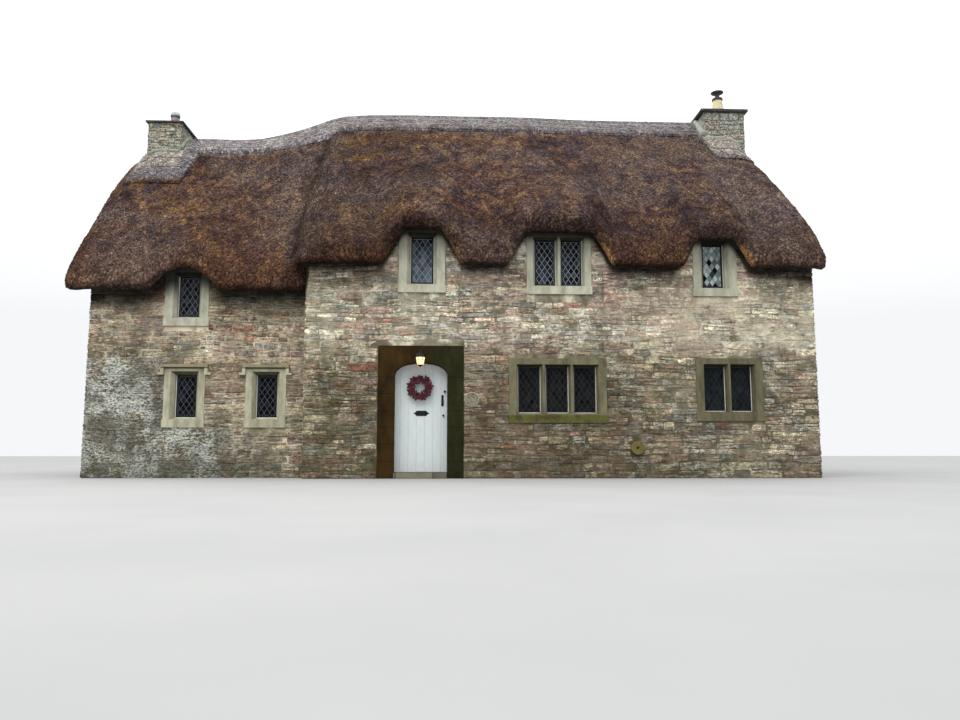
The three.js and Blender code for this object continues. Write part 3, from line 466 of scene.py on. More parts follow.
def straw_look(name, dull, fresh):
    """Weathered straw: rust brown with dark and golden patches, redder at the eaves, and finely stippled."""
    look = Look(name, roughness=0.95, specular=0.1)
    shade, dulled, freshened = look.parts(look.tone)[:3]
    x, _, z = look.axes
    middle = look.noise(3.4, 5, 0.72, (1.15, 0.7, 0.9), 0.6)
    broad = look.noise(0.9, 3, 0.6, (1.1, 0.8, 0.9))
    mottled = look.plus(look.times(broad, 0.3), look.times(middle, 0.7))
    look.base = look.screen(mottled, (0.41, (50, 37, 38)), (0.46, (70, 51, 45)), (0.505, (88, 65, 51)),
                            (0.55, (106, 79, 57)), (0.62, (132, 102, 69)))
    hue = look.noise(2.3, 4, 0.65, (1.1, 0.7, 0.9))
    look.tint((84, 70, 74), look.band(hue, 0.52, 0.6), 0.45)
    look.tint((100, 66, 46), look.band(hue, 0.47, 0.4), 0.3)
    look.scale((0.97, 1.0, 1.17), look.band(x, -3.5, 3.0))
    look.tint((90, 60, 43), look.band(z, 5.0, 3.6), 0.5)
    look.tint(look.screen(middle, (0.36, dull[0]), (0.64, dull[1])), dulled)
    look.tint(fresh, freshened)
    butts = look.node("TexVoronoi", {"Vector": look.stretched((1, 1, 0.7)), "Scale": 40}).outputs
    look.scale(look.ramp(look.parts(butts["Color"])[0], (0.0, (0.32, 0.32, 0.34)), (0.5, (0.85, 0.84, 0.83)),
                         (0.86, (1.44, 1.42, 1.38)), (1.0, (2.3, 2.26, 2.2))))
    # each point's shade, which carries the thatch's painted shade and highlight
    look.scale(shade)
    look.bump(look.less(1.0, butts["Distance"]), 0.012, 0.7)
    look.bump(look.noise(90, 2, 0.7), 0.005, 0.7)
    return look.done()


def eave_line(side):
    """How high the thatch hangs along one side's wall face: the few points that draw the whole line."""
    roof = tree_of(*THATCH)

    def eave(x):
        spot = Vector((x, side * (SHADED + (MAIN_FACE if x > JOG else WING_FACE)), 2.4))
        hit = roof.ray_cast(spot, Vector((0, 0, 1)))[0]
        return hit.z if hit is not None else USUAL_EAVE

    xs = np.linspace(LEFT, RIGHT, EAVE_PROBES)
    heights = np.array([eave(x) for x in xs])
    kept = [0, len(xs) - 1]
    while len(kept) < EAVE_POINTS:
        gap = np.abs(heights - np.interp(xs, xs[kept], heights[kept]))
        kept = sorted({*kept, int(gap.argmax())})
    return [((xs[k] - LEFT) / (RIGHT - LEFT), heights[k] / TALL) for k in kept]


def under_eaves(look):
    """Painted shade that darkens a wall close under the thatch."""
    band, times, plus, less = look.band, look.times, look.plus, look.less
    x, y, z = look.axes
    along = look.node("MapRange", {"Value": x, "From Min": LEFT, "From Max": RIGHT}).outputs[0]
    front, back = (look.ramp(along, *stops) for stops in EAVE_LINES)
    eave = times(look.parts(look.mix(band(y, -0.1, 0.1), front, back))[0], TALL)
    wing, nose, eyebrow = EAVE_REACH
    raised = band(eave, 3.6, 4.1)
    house = plus(times(raised, eyebrow - nose), nose - wing)
    nearer = plus(times(band(x, JOG - 0.1, JOG), house), wing)
    later = times(band(x, 0.4, 6.0), 0.15, less(1.0, raised))
    depth = less(times(less(eave, z), nearer), later)
    shade = look.ramp(depth, *((at, (share, share, share * 0.97)) for at, share in EAVE_SHADE))
    face = plus(times(band(x, 5.6, 5.7), 0.5), 2.6)
    long_side = band(less(look.calc("ABSOLUTE", y), face), -0.04, 0.04)
    # painted shade, darkest right under the eave, on the long walls only
    look.scale(shade, long_side)


def weathered(look):
    """Stains by place: whitewash on the wing, algae under the eave, cream at the right, damp at the foot, and a
    darker lower house front that is partly grime and partly painted shade; then painted shade under the eaves.
    """
    band, noise, times = look.band, look.noise, look.times
    x, y, z = look.axes
    broad = noise(0.8, 4, 0.6)
    blotch = noise(2.6, 5, 0.65)
    fleck = noise(14, 4, 0.7)
    streak = noise(26, 5, 0.76, (0.8, 0.8, 1.5))
    front = band(y, -2.2, -2.6)
    look.tint((146, 122, 108), band(broad, 0.5, 0.6), 0.35)
    look.tint((152, 148, 126), band(broad, 0.46, 0.36), 0.3)
    look.scale((1.48, 1.54, 1.64), band(z, 2.0, 2.6), band(x, -2.9, -2.4))
    near = times(band(x, -4.3, -5.6), band(z, 2.8, 1.7))
    low = times(band(x, -2.6, -4.6), band(z, 1.6, 0.5))
    reach = times(look.calc("ADD", near, low, clamp=True), front)
    wash = look.plus(times(blotch, 0.8), times(streak, 0.7))
    look.tint((212, 216, 211), band(look.plus(wash, times(reach, 0.36)), 1.0, 1.12), 0.74)
    look.tint((58, 59, 50), reach, band(streak, 0.55, 0.42), 0.85)
    look.tint((86, 80, 67), reach, band(noise(1.9, 5, 0.62), 0.56, 0.4), 0.75)
    algae = times(band(z, 2.85, 3.25), band(z, 3.75, 3.55), band(x, -2.9, -2.5), band(x, -0.9, -1.5))
    look.tint((112, 106, 62), algae, band(fleck, 0.35, 0.6), 0.28)
    cream = times(band(x, 2.6, 4.4), band(z, 2.0, 2.5), front, band(z, 3.5, 3.1))
    look.tint((222, 211, 186), cream, band(blotch, 0.38, 0.55), 0.5)
    # darker low on the house front: partly grime, partly painted shade
    grime_and_shade = times(band(z, 2.4, 1.5), band(x, -2.9, -2.2), front, band(x, 5.7, 1.9))
    look.scale((0.42, 0.42, 0.33), grime_and_shade, band(blotch, 0.2, 0.7), 0.9)
    look.tint((76, 74, 54), band(z, 0.55, 0.05), band(fleck, 0.3, 0.65), 0.55)
    # painted shade under the eaves
    under_eaves(look)


def lichened(look):
    """The weather side of a chimney: grey green algae and pale lichen over the stones."""
    fleck = look.noise(27, 4, 0.72)
    look.tint((126, 129, 114), 0.4)
    look.tint((136, 141, 128), look.band(look.noise(5, 5, 0.7), 0.44, 0.6), 0.5)
    look.tint((204, 206, 190), look.band(fleck, 0.53, 0.61), 0.75)
    look.tint((52, 56, 50), look.band(fleck, 0.46, 0.38), 0.75)
    look.scale((1.28, 1.28, 1.34), look.band(look.axes[0], 0.0, 1.0))


def sooty(look):
    """The joints of a chimney, darker than its stones."""
    lichened(look)
    look.scale((0.45, 0.45, 0.44))


def lime(look):
    """The mortar's colour: cream on the wing, washed out and dark on the house, and darker low down, partly
    painted shade.
    """
    x, _, z = look.axes
    patch = look.noise(3.2, 4, 0.6)
    wing = look.screen(patch, (0.38, (106, 98, 80)), (0.48, (158, 149, 126)), (0.58, (222, 212, 188)))
    house = look.screen(patch, (0.4, (92, 86, 72)), (0.52, (134, 126, 108)), (0.62, (200, 192, 170)))
    # darker low on the house, as the stones are: partly grime, partly painted shade
    house = look.mix(look.times(look.band(z, 2.4, 1.6), 0.5), house, srgb(92, 85, 70))
    return look.mix(look.band(x, -2.3, -2.7), house, wing)


def stone_look(name, weather, smeared=0.75):
    """Laid stone with its own colour, bedding, small pits and smears of the mortar round it."""
    look = Look(name, roughness=0.92, specular=0.2)
    look.base = look.tone
    grain = look.noise(42, 5, 0.74)
    bedding = look.noise(9, 5, 0.7, (0.5, 0.5, 3.6))
    chip = look.noise(19, 4, 0.7, (0.8, 0.8, 1.5))
    cloud = look.noise(5, 3, 0.6)
    spreads = ((cloud, 0.7, 1.26), (bedding, 0.38, 1.55), (chip, 0.42, 1.55), (grain, 0.52, 1.48))
    for value, low, high in spreads:
        look.scale(look.ramp(value, (0.34, (low, low * 0.97, low * 0.94)), (0.5, 1), (0.67, high)))
    look.tint(lime(look), look.band(look.noise(8.5, 5, 0.74), 0.49, 0.58), smeared)
    crack = look.calc("ABSOLUTE", look.less(look.noise(5, 3, 0.6, (0.7, 0.7, 4), 0.6), 0.5))
    crack = look.band(crack, 0.012, 0.002)
    look.tint((52, 45, 36), crack, 0.7)
    look.bump(look.less(bedding, crack), 0.02, 0.8)
    look.bump(grain, 0.008, 0.9)
    weather(look)
    return look.done()


def mortar_look(name, weather):
    """Lime mortar between the stones, and plaster on the walls' inner faces."""
    look = Look(name, roughness=0.95, specular=0.15)
    sand = look.noise(90, 4, 0.7)
    x, y, _ = look.axes
    look.base = lime(look)
    look.scale(look.ramp(sand, (0.3, (0.8, 0.79, 0.78)), (0.7, (1.15, 1.14, 1.12))))
    weather(look)
    inside = look.times(look.band(look.calc("ABSOLUTE", y), 2.63, 2.61), look.band(x, -5.80, -5.78),
                        look.band(x, 5.59, 5.57))
    look.tint(look.screen(look.noise(3, 4, 0.6), (0.3, (206, 200, 186)), (0.7, (226, 221, 208))), inside)
    look.bump(sand, 0.004, 0.8)
    return look.done()


def dressed_look(name, pale, dark, moss=None, hood=None):
    """Sawn and chamfered limestone, with soft stains that run down, fine pores, painted shade on the undersides
    and under a hood mould, and painted shade under the eaves.
    """
    look = Look(name, roughness=0.88, specular=0.2)
    band, z = look.band, look.axes[2]
    stain = look.noise(4.5, 5, 0.65, (1.6, 1.6, 0.5))
    pores = look.noise(75, 4, 0.7)
    look.base = look.screen(stain, (0.3, dark), (0.62, pale))
    look.scale(look.ramp(pores, (0.3, (0.82, 0.82, 0.8)), (0.5, 1), (0.7, 1.1)))
    if moss:
        low, high = moss
        patches = look.screen(look.noise(9, 4, 0.7), (0.42, (70, 56, 34)), (0.54, (84, 92, 30)))
        look.tint(patches, band(z, high, high - 0.03), band(z, low - 0.05, low + 0.04), 0.85)
    if hood:
        look.tint((122, 108, 84), band(z, hood - 0.012, hood), 0.7)
        # painted shadow: a thin dark line under the hood mould
        look.tint((40, 38, 30), band(z, hood - 0.03, hood - 0.018), band(z, hood, hood - 0.006), 0.8)
    # painted shade: faces that look down are darkened
    facing = look.parts(look.node("TexCoord").outputs["Normal"])[2]
    look.scale((0.2, 0.2, 0.15), band(facing, -0.3, -0.6))
    look.bump(pores, 0.003, 0.8)
    look.bump(stain, 0.008, 0.4)
    # painted shade under the eaves
    under_eaves(look)
    return look.done()


def door_stone_look():
    """Brown ashlar round the door, rusty on the left and green on the right, with fine block joints; stained dark,
    and darkened further with painted shade.
    """
    look = Look("door_ashlar", roughness=0.9, specular=0.08)
    x, _, z = look.axes
    stain = look.noise(3.4, 5, 0.65, (1.5, 1.5, 0.6))
    # stained brown, made darker still with painted shade
    look.base = look.screen(stain, (0.3, (36, 26, 11)), (0.7, (68, 50, 24)))
    look.tint(look.screen(stain, (0.3, (28, 28, 14)), (0.7, (51, 50, 28))), look.band(x, -0.8, -0.2))
    row = look.calc("FRACT", look.calc("DIVIDE", z, 0.29))
    joint = look.times(look.band(row, 0.03, 0.02), look.band(z, 1.85, 1.83))
    look.tint((26, 21, 14), joint, 0.6)
    pores = look.noise(60, 4, 0.7)
    look.scale(look.ramp(pores, (0.3, 0.8), (0.7, (1.14, 1.14, 1.12))))
    look.bump(look.less(pores, joint), 0.004, 0.8)
    return look.done()


def plaque_look():
    """A weathered round stone with a pale rim, partly worn and partly a painted highlight, and the painted shade
    of a shallow groove inside it.
    """
    look = Look("round_plaque", roughness=0.9, specular=0.15)
    low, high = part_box("round_plaque")
    x, z = (look.less(look.axes[k], (low[k] + high[k]) / 2) for k in (0, 2))
    across = look.node("CombineXYZ", {"X": x, "Y": z}).outputs[0]
    reach = look.node("VectorMath", {"Vector": across}, operation="LENGTH").outputs["Value"]
    reach = look.calc("DIVIDE", reach, (high.x - low.x) / 2)
    worn = look.noise(34, 4, 0.7)
    look.base = look.screen(worn, (0.36, (84, 80, 66)), (0.5, (134, 130, 112)), (0.66, (150, 146, 128)))
    # pale rim: partly wear, partly painted highlight
    look.tint((168, 164, 148), look.band(reach, 0.86, 0.9))
    # painted shade in the groove
    groove = look.times(look.band(reach, 0.8, 0.84), look.band(reach, 0.9, 0.86))
    look.tint((78, 74, 60), groove, 0.6)
    look.bump(look.less(worn, groove), 0.006, 0.8)
    return look.done()


def flag_look():
    look = Look("worn_flags", roughness=0.8)
    inputs = {"Vector": look.stretched((1.4, 1.4, 1.4)), "Color1": srgb(126, 120, 106),
              "Color2": srgb(98, 94, 86), "Mortar": srgb(62, 58, 50), "Scale": 1.0, "Mortar Size": 0.012,
              "Brick Width": 0.9, "Row Height": 0.62}
    flags = look.node("TexBrick", inputs).outputs
    worn = look.noise(7, 5, 0.65)
    look.base = flags["Color"]
    look.scale(look.ramp(worn, (0.3, (0.8, 0.8, 0.78)), (0.7, (1.15, 1.14, 1.1))))
    look.bump(look.less(worn, flags["Fac"]), 0.006, 0.7)
    return look.done()


def board_look():
    look = Look("floor_boards", roughness=0.6)
    along = look.noise(5, 4, 0.6, (0.4, 8, 8))
    gap = look.band(look.calc("FRACT", look.calc("DIVIDE", look.axes[1], 0.19)), 0.03, 0.015)
    look.base = look.screen(along, (0.3, (96, 66, 42)), (0.7, (142, 104, 68)))
    look.tint((36, 26, 18), gap)
    look.bump(look.less(along, gap), 0.004)
    return look.done()


def slab_look():
    look = Look("weathered_slab", roughness=0.85)
    fleck = look.noise(28, 4, 0.7)
    look.base = look.screen(fleck, (0.35, (46, 47, 52)), (0.65, (78, 79, 80)))
    look.tint((112, 116, 80), look.band(look.noise(6, 5, 0.7), 0.5, 0.64), 0.45)
    look.bump(fleck, 0.006)
    return look.done()


def paint_look():
    """Satin white paint over planks, a little grey in the grain and scuffed low down."""
    look = Look("white_paint", roughness=0.42, specular=0.4)
    grain = look.noise(16, 4, 0.6, (6, 6, 0.4))
    look.base = look.screen(grain, (0.25, (206, 214, 214)), (0.6, (219, 227, 227)))
    scuff = look.band(look.noise(24, 4, 0.7), 0.5, 0.7)
    look.tint((150, 146, 136), look.band(look.axes[2], 0.5, 0.1), scuff, 0.25)
    look.bump(grain, 0.0012, 0.8)
    return look.done()


def iron_look():
    look = Look("black_iron", roughness=0.42, metallic=0.35, specular=0.5)
    worn = look.noise(30, 4, 0.65)
    look.base = look.screen(worn, (0.35, (18, 18, 20)), (0.7, (40, 39, 40)))
    look.put(look.shader.inputs["Roughness"], look.band(worn, 0.1, 1.6))
    look.bump(worn, 0.0015)
    return look.done()


def lamp_glass_look():
    """Frosted panes lit from inside, brightest half way up."""
    look = Look("lit_glass", roughness=0.3)
    low, high = (corner.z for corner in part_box("wall_lamp"))
    middle = low + (high - low) * 0.38
    glow = look.band(look.calc("ABSOLUTE", look.less(look.axes[2], middle)), 0.11, 0.0)
    lit = look.times(glow, look.band(look.noise(60, 3, 0.6), -0.4, 0.6))
    light = look.screen(lit, (0.2, (255, 168, 72)), (0.8, (255, 226, 160)))
    look.put(look.shader.inputs["Emission Color"], light)
    look.shader.inputs["Emission Strength"].default_value = 1.9
    look.base = srgb(250, 220, 170)
    return look.done()


def clay_look(name, dark, pale, roughness=0.8):
    look = Look(name, roughness=roughness)
    soot = look.noise(14, 5, 0.65, (1, 1, 0.6))
    look.base = look.screen(soot, (0.32, dark), (0.62, pale))
    look.bump(look.noise(90, 3, 0.6), 0.002)
    look.bump(soot, 0.004, 0.5)
    return look.done()


def fillet_look():
    """Smooth greenish mortar run along the foot of the stacks, paler on the right one."""
    look = Look("mortar_fillet", roughness=0.9, specular=0.15)
    worn = look.noise(16, 4, 0.65)
    look.base = look.screen(worn, (0.35, (120, 126, 112)), (0.6, (152, 158, 142)))
    right = look.screen(worn, (0.35, (140, 146, 136)), (0.6, (174, 180, 168)))
    look.tint(right, look.band(look.axes[0], -1.0, 1.0))
    look.bump(worn, 0.006)
    return look.done()


# Places that the looks and the walling share
THATCH = [name for name in solids if "_thatch_" in name]
LEFT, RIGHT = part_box("left_gable_wall")[0].x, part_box("right_gable_wall")[1].x
MAIN_FACE, WING_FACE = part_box("main_back_wall")[1].y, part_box("wing_back_wall")[1].y
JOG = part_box("main_back_wall")[0].x  # where the wing meets the taller house
TALL = 8.0  # the height that a white eave line would stand for
EAVE_LINES = [eave_line(side) for side in (-1, 1)]
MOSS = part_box("window_stone_main_lower_middle")[0].z
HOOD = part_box("window_stone_wing_lower_left")[1].z - 0.053

LOOKS = {
    "thatch": straw_look("weathered_thatch", ((88, 77, 74), (128, 116, 110)), (158, 117, 78)),
    "ridge_thatch": straw_look("ridge_thatch", ((105, 100, 103), (156, 151, 153)), (184, 172, 156)),
    "hazel": plain_look("split_hazel", (18, 3, 0.6, (0.25, 1, 1)), srgb(138, 131, 124), srgb(196, 189, 180),
                        (0.002,), True, roughness=0.7),
    "rubble_stone": mortar_look("lime_mortar", weathered),
    "stack_mortar": mortar_look("stack_mortar", sooty),
    "fillet": fillet_look(),
    "wall_stones": stone_look("rubble", weathered),
    "stack_stones": stone_look("stack_rubble", lichened, 0.25),
    "dressed_stone": dressed_look("dressed_limestone", (200, 199, 181), (156, 155, 138)),
    # The lower windows' stones: stained, and darkened further with painted shade
    "mossy_shaded_stone": dressed_look("mossy_shaded_limestone", (124, 119, 94), (84, 80, 60), moss=(MOSS, MOSS + 0.15)),
    "stained_shaded_stone": dressed_look("stained_shaded_limestone", (114, 109, 86), (78, 74, 56)),
    "hooded_stone": dressed_look("hooded_limestone", (190, 187, 164), (142, 138, 116), hood=HOOD),
    "door_stone": door_stone_look(),
    "flagstone": flag_look(),
    "old_stone": plaque_look(),
    "quern": dressed_look("quern_stone", (128, 116, 68), (84, 76, 46)),
    "chimney_slab": slab_look(),
    "floor_boards": board_look(),
    "white_paint": paint_look(),
    "black_iron": iron_look(),
    "lead": plain_look("grey_lead", (22, 3, 0.6), srgb(118, 124, 130), srgb(160, 166, 172), (0.0008,), True,
                       roughness=0.55, metallic=0.3, specular=0.4),
    "mastic": plain_look("pale_mastic", (30, 3, 0.6), srgb(200, 200, 192), srgb(232, 232, 226), (0.001,),
                         roughness=0.8),
    "leaded_glass": plain_look("old_glass", (9, 2, 0.5), 0.7, 1.2, (0.004, 0.35), True, roughness=0.12,
                               specular=0.08),
    "lamp_glass": lamp_glass_look(),
    "red_berries": plain_look("red_berries", (90, 3, 0.6), 0.7, 1.3, (0.002,), True, roughness=0.45,
                              specular=0.4),
    "brown_clay": clay_look("brown_clay", (104, 88, 92), (142, 124, 128)),
    "grey_hood": clay_look("grey_hood", (140, 146, 156), (188, 194, 202)),
    "buff_clay": clay_look("buff_clay", (186, 168, 124), (230, 216, 176)),
    "dark_cowl": clay_look("dark_cowl", (46, 44, 50), (78, 74, 80), 0.6),
}
# Solids with another look than their slot's, and how far the arrises of dressed solids are worn
OWN_LOOKS = {
    "window_stone_main_lower_middle": "mossy_shaded_stone",
    "window_stone_main_lower_right": "stained_shaded_stone",
    "window_stone_wing_lower_left": "hooded_stone",
    "window_stone_wing_lower_right": "hooded_stone",
    "left_chimney_stack": "stack_mortar",
    "right_chimney_stack": "stack_mortar",
    "quern_stone": "quern",
}
WORN = {**dict.fromkeys(("dressed_stone", "mossy_shaded_stone", "stained_shaded_stone", "hooded_stone"), 0.006),
        "door_stone": 0.012, "flagstone": 0.01, "chimney_slab": 0.012, "old_stone": 0.008, "quern": 0.008}


def dress_solids():
    """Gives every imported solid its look, and takes the sharpness off the dressed stone's edges."""
    for sub in frame["record"]["subparts"]:
        node = solids[sub["node"]]
        look = OWN_LOOKS.get(sub["node"], sub["material_slot"])
        node.data.materials.clear()
        node.data.materials.append(LOOKS[look])
        if look in WORN and sub["node"] != "ground_floor":
            assign(node.modifiers.new("weld", "WELD"), merge_threshold=WELD)
            assign(node.modifiers.new("worn edges", "BEVEL"), width=WORN[look], segments=2,
                   limit_method="ANGLE", angle_limit=math.radians(32))


# Thatch
def softened(names, voxel):
    """Solids joined as one even mesh with soft edges, as points, their normals and faces."""
    work = bmesh.new()
    for name in names:
        work.from_mesh(solids[name].data)
    bmesh.ops.remove_doubles(work, verts=work.verts, dist=WELD)
    mesh = bpy.data.meshes.new("solids")
    work.to_mesh(mesh)
    work.free()
    helper = placed("helper", mesh)
    if voxel:
        assign(helper.modifiers.new("even", "REMESH"), mode="VOXEL", voxel_size=voxel)
    else:
        edges = helper.modifiers.new("edges", "BEVEL")
        assign(edges, width=CAP_EDGE, segments=2, angle_limit=math.radians(40))
        assign(helper.modifiers.new("even", "SUBSURF"), subdivision_type="SIMPLE", levels=1)
    helper.modifiers.new("relax", "SMOOTH").iterations = 2
    bpy.context.view_layer.update()
    made = bpy.data.meshes.new_from_object(helper.evaluated_get(bpy.context.evaluated_depsgraph_get()))
    bpy.data.objects.remove(helper)
    points = read(made.vertices, "co", 3).astype(float)
    normals = read(made.vertex_normals, "vector", 3)
    tree = tree_of(mesh)
    packed = np.array([tree.find_nearest(Vector(point))[0] for point in points])
    points += (packed - points) * PULL
    points += normals * (0.006 * lumps(points, 0.35, 3) + 0.004 * lumps(points, 0.12, 4) - INSET)[:, None]
    low, high = (np.array(corner) for corner in cad_box)
    faces = read(made.loops, "vertex_index", 1, np.int32).reshape(-1, 4)
    return np.clip(points, low + 0.003, high - 0.003), normals, faces


def cap_half(x):
    """How far the ridge cap reaches down each slope: less over the wing than over the house."""
    return 0.35 + 0.12 * ease(x, -4.5, -2.1)


def cap_tone(points):
    """Shade, share of dull grey and share of fresh straw over the ridge cap and its aprons."""
    x, y = points[:, 0], np.abs(points[:, 1])
    left, right = ease(x, -5.35, -5.6), ease(x, 5.4, 5.6)
    end = left + right
    stitched = left * ease(y, 0.96, 0.84) * ease(x, -5.62, -5.74) + right * ease(y, 1.2, 1.08)
    reach = np.where(x < 0, 1.23, 1.34)
    plain = 1 - 0.25 * ease(y, 0.36, 0.48)
    dull = end * ease(y, reach, reach - 0.1) + (1 - end) * plain + 0.25 * lumps(points, 0.4, 12)
    shade = 0.85 * (1 - 0.2 * ease(x, -2.9, -2.1) * (1 - end))
    shade *= (1 - 0.14 * left * stitched) * (1 - 0.3 * end * (1 - stitched))
    return np.stack([shade, np.clip(dull, 0, 1), 0.45 * stitched], 1)


def coat_tone(points, normals, crease):
    """Shade, with painted shade and highlight in it, share of dull grey and share of fresh straw over the main
    coats; crease is 1 in a fold, where painted shade goes.
    """
    x, y, z = points.T
    nx, _, nz = normals.T
    house = ease(x, -3.1, -3.0)
    low = ease(z, 5.2, 4.3)
    shade = 0.75 * (1 - low * (0.1 + 0.16 * house + 0.16 * house * ease(x, -0.9, -1.4)))
    shade *= 1 - 0.22 * house * ease(x, 0.4, -0.8) * (1 - low)
    shade *= 1 + 0.25 * ease(x, 5.6, 6.3)
    # Painted highlight on the rounded noses; painted shade on faces turned down under the eaves and in the fold;
    # darker along the eyebrows' edges, where the highlight is left off
    nose_highlight = np.exp(-(((nz + 0.2) / 0.3) ** 2))
    eyebrow = ease(z, 3.85, 4.1) * ease(nz, 0.5, 0.1) * (np.abs(x) < 6.2)
    shade *= (1 + 0.5 * nose_highlight * (1 - eyebrow)) * (1 - 0.22 * eyebrow) * (1 - 0.7 * ease(nz, -0.7, -0.95))
    shade *= 1 - 0.55 * crease
    beside = ease(nx, -0.45, -0.65) * ease(z, 4.15, 4.0) * (y < -3.15)
    lit = [share * beside * (np.abs(x - middle) < 0.26) for middle, share in LIT_REVEALS]
    reveal = np.maximum.reduce(lit)
    shoulder = house * ease(x, -2.0, -2.7) * ease(z, 3.6, 3.9)
    valley = ease(x, -4.1, -3.2) * ease(x, -2.7, -2.9) * ease(z, 3.9, 4.5)
    sheen = np.clip(0.06 + 0.3 * lumps(points, 1.1, 11), 0, 0.4)
    sheen = sheen + 0.16 * ease(x, 1.6, 3.1) * ease(z, 4.8, 5.6)
    flank = ease(x, 4.9, 5.2) * ease(x, 6.4, 5.9) * ease(z, 3.7, 4.0) * (y < 0)
    fringe = ease(np.abs(y) - cap_half(x) - 0.04 * lumps(points, 0.3, 14), 0.13, 0.05) * (1 - 0.4 * house)
    dull = [0.45 * shoulder, 0.4 * valley, sheen, 0.5 * flank, 0.85 * fringe, 0.3 * (x > 5.7)]
    dull = np.maximum.reduce(dull) * (1 - reveal)
    return np.stack([shade * (1 + 0.9 * reveal), dull, 0.85 * reveal], 1)


def straw(name, coat, tone, values, seed, look):
    """Butts of straw all over the outer face of a coat, lying down the slope and lifting at their ends."""
    draw = np.random.default_rng(seed)
    points, faces = triangles(coat)
    a, b, c = (points[faces[:, k]] for k in range(3))
    normal = np.cross(b - a, c - a)
    size = np.linalg.norm(normal, axis=1)
    normal /= np.maximum(size, 1e-12)[:, None]
    size = np.where(normal[:, 2] > -0.3, size / 2, 0)
    count = int(values["per_m2"] * size.sum())
    pick = draw.choice(len(faces), count, p=size / size.sum())
    r1, r2 = np.sqrt(draw.random(count))[:, None], draw.random(count)[:, None]
    shares = np.concatenate([1 - r1, r1 * (1 - r2), r1 * r2], 1)[..., None]
    at = (points[faces[pick]] * shares).sum(1)
    own = (tone[faces[pick]] * shares).sum(1)
    own[:, 0] *= np.exp(draw.normal(0.05, 0.24, count))
    own[:, 2] = np.maximum(own[:, 2], np.where(draw.random(count) < 0.09, draw.uniform(0.1, 0.3, count), 0))
    n = normal[pick]
    level = ease(n[:, 2:3], 0.88, 0.96)
    down = np.array([0, 0, -1]) + n * n[:, 2:3]
    down[:, 1] += level[:, 0] * np.where(at[:, 1] < 0, -1, 1)
    down -= n * (down * n).sum(1)[:, None]
    down /= np.maximum(np.linalg.norm(down, axis=1), 1e-6)[:, None]
    side = np.cross(n, down)
    turn = draw.normal(0, 0.3, count)[:, None]
    down, side = down * np.cos(turn) + side * np.sin(turn), side * np.cos(turn) - down * np.sin(turn)
    length = draw.uniform(*values["length"], count)[:, None]
    above = np.minimum(length / 2, np.abs(at[:, 1:2]) * 0.8)
    width = draw.uniform(*values["width"], count)[:, None]
    lift = draw.uniform(*values["lift"], count)[:, None] * (1 - level) - 0.006 * level
    butt = [
        at - down * above + side * width / 2 - n * 0.004,
        at - down * above - side * width / 2 - n * 0.004,
        at + down * length / 2 + n * lift,
        at + down * length * 0.3 - n * 0.014,
    ]
    low, high = (np.array(corner) for corner in cad_box)
    corners = np.clip(np.stack(butt, 1), low + 0.001, high - 0.001).reshape(-1, 3)
    tetra = np.array([[0, 1, 2], [0, 3, 1], [1, 3, 2], [2, 3, 0]])
    tetras = (np.arange(count)[:, None, None] * 4 + tetra).reshape(-1, 3)
    piece(name, mesh_of(name, corners, [tetras], np.repeat(own, 4, 0)), look)


def main_coats():
    """One soft coat over the four thatch solids, cut into a piece for each with no seam between them."""
    names = ["main_thatch_front", "main_thatch_back", "wing_thatch_front", "wing_thatch_back"]
    points, normals, faces = softened(names, VOXEL)
    trees = [tree_of(name) for name in names]
    reach = np.array([[tree.find_nearest(Vector(point))[3] for point in points] for tree in trees])
    fold = np.where(points[:, 1] < 0, reach[0] + reach[2], reach[1] + reach[3])
    # crease marks the fold between the solids, where coat_tone paints shade
    tone = coat_tone(points, normals, ease(fold, 0.16, 0) * (points[:, 0] > -3.4))
    nearest = np.argmin(reach, 0)[faces[:, 0]]
    for k, name in enumerate(names):
        used, own = np.unique(faces[nearest == k], return_inverse=True)
        mesh = mesh_of(f"{name}_coat", points[used], [own.reshape(-1, 4)], tone[used])
        piece(f"{name}_coat", mesh, "thatch", smooth=True, replaces=[name])
        mesh.normals_split_custom_set_from_vertices([tuple(n) for n in normals[used]])
        straw(f"{name}_straw", mesh, tone[used], BACK_STRAW if "back" in name else STRAW, 20 + k, "thatch")


def ridge():
    """The ridge cap's soft coat and its straw."""
    points, _, faces = softened(["ridge_cap"], None)
    tone = cap_tone(points)
    mesh = mesh_of("ridge_cap_coat", points, [faces], tone)
    piece("ridge_cap_coat", mesh, "ridge_thatch", smooth=True, replaces=["ridge_cap"])
    straw("ridge_cap_straw", mesh, tone, CAP_STRAW, 24, "ridge_thatch")
    return mesh


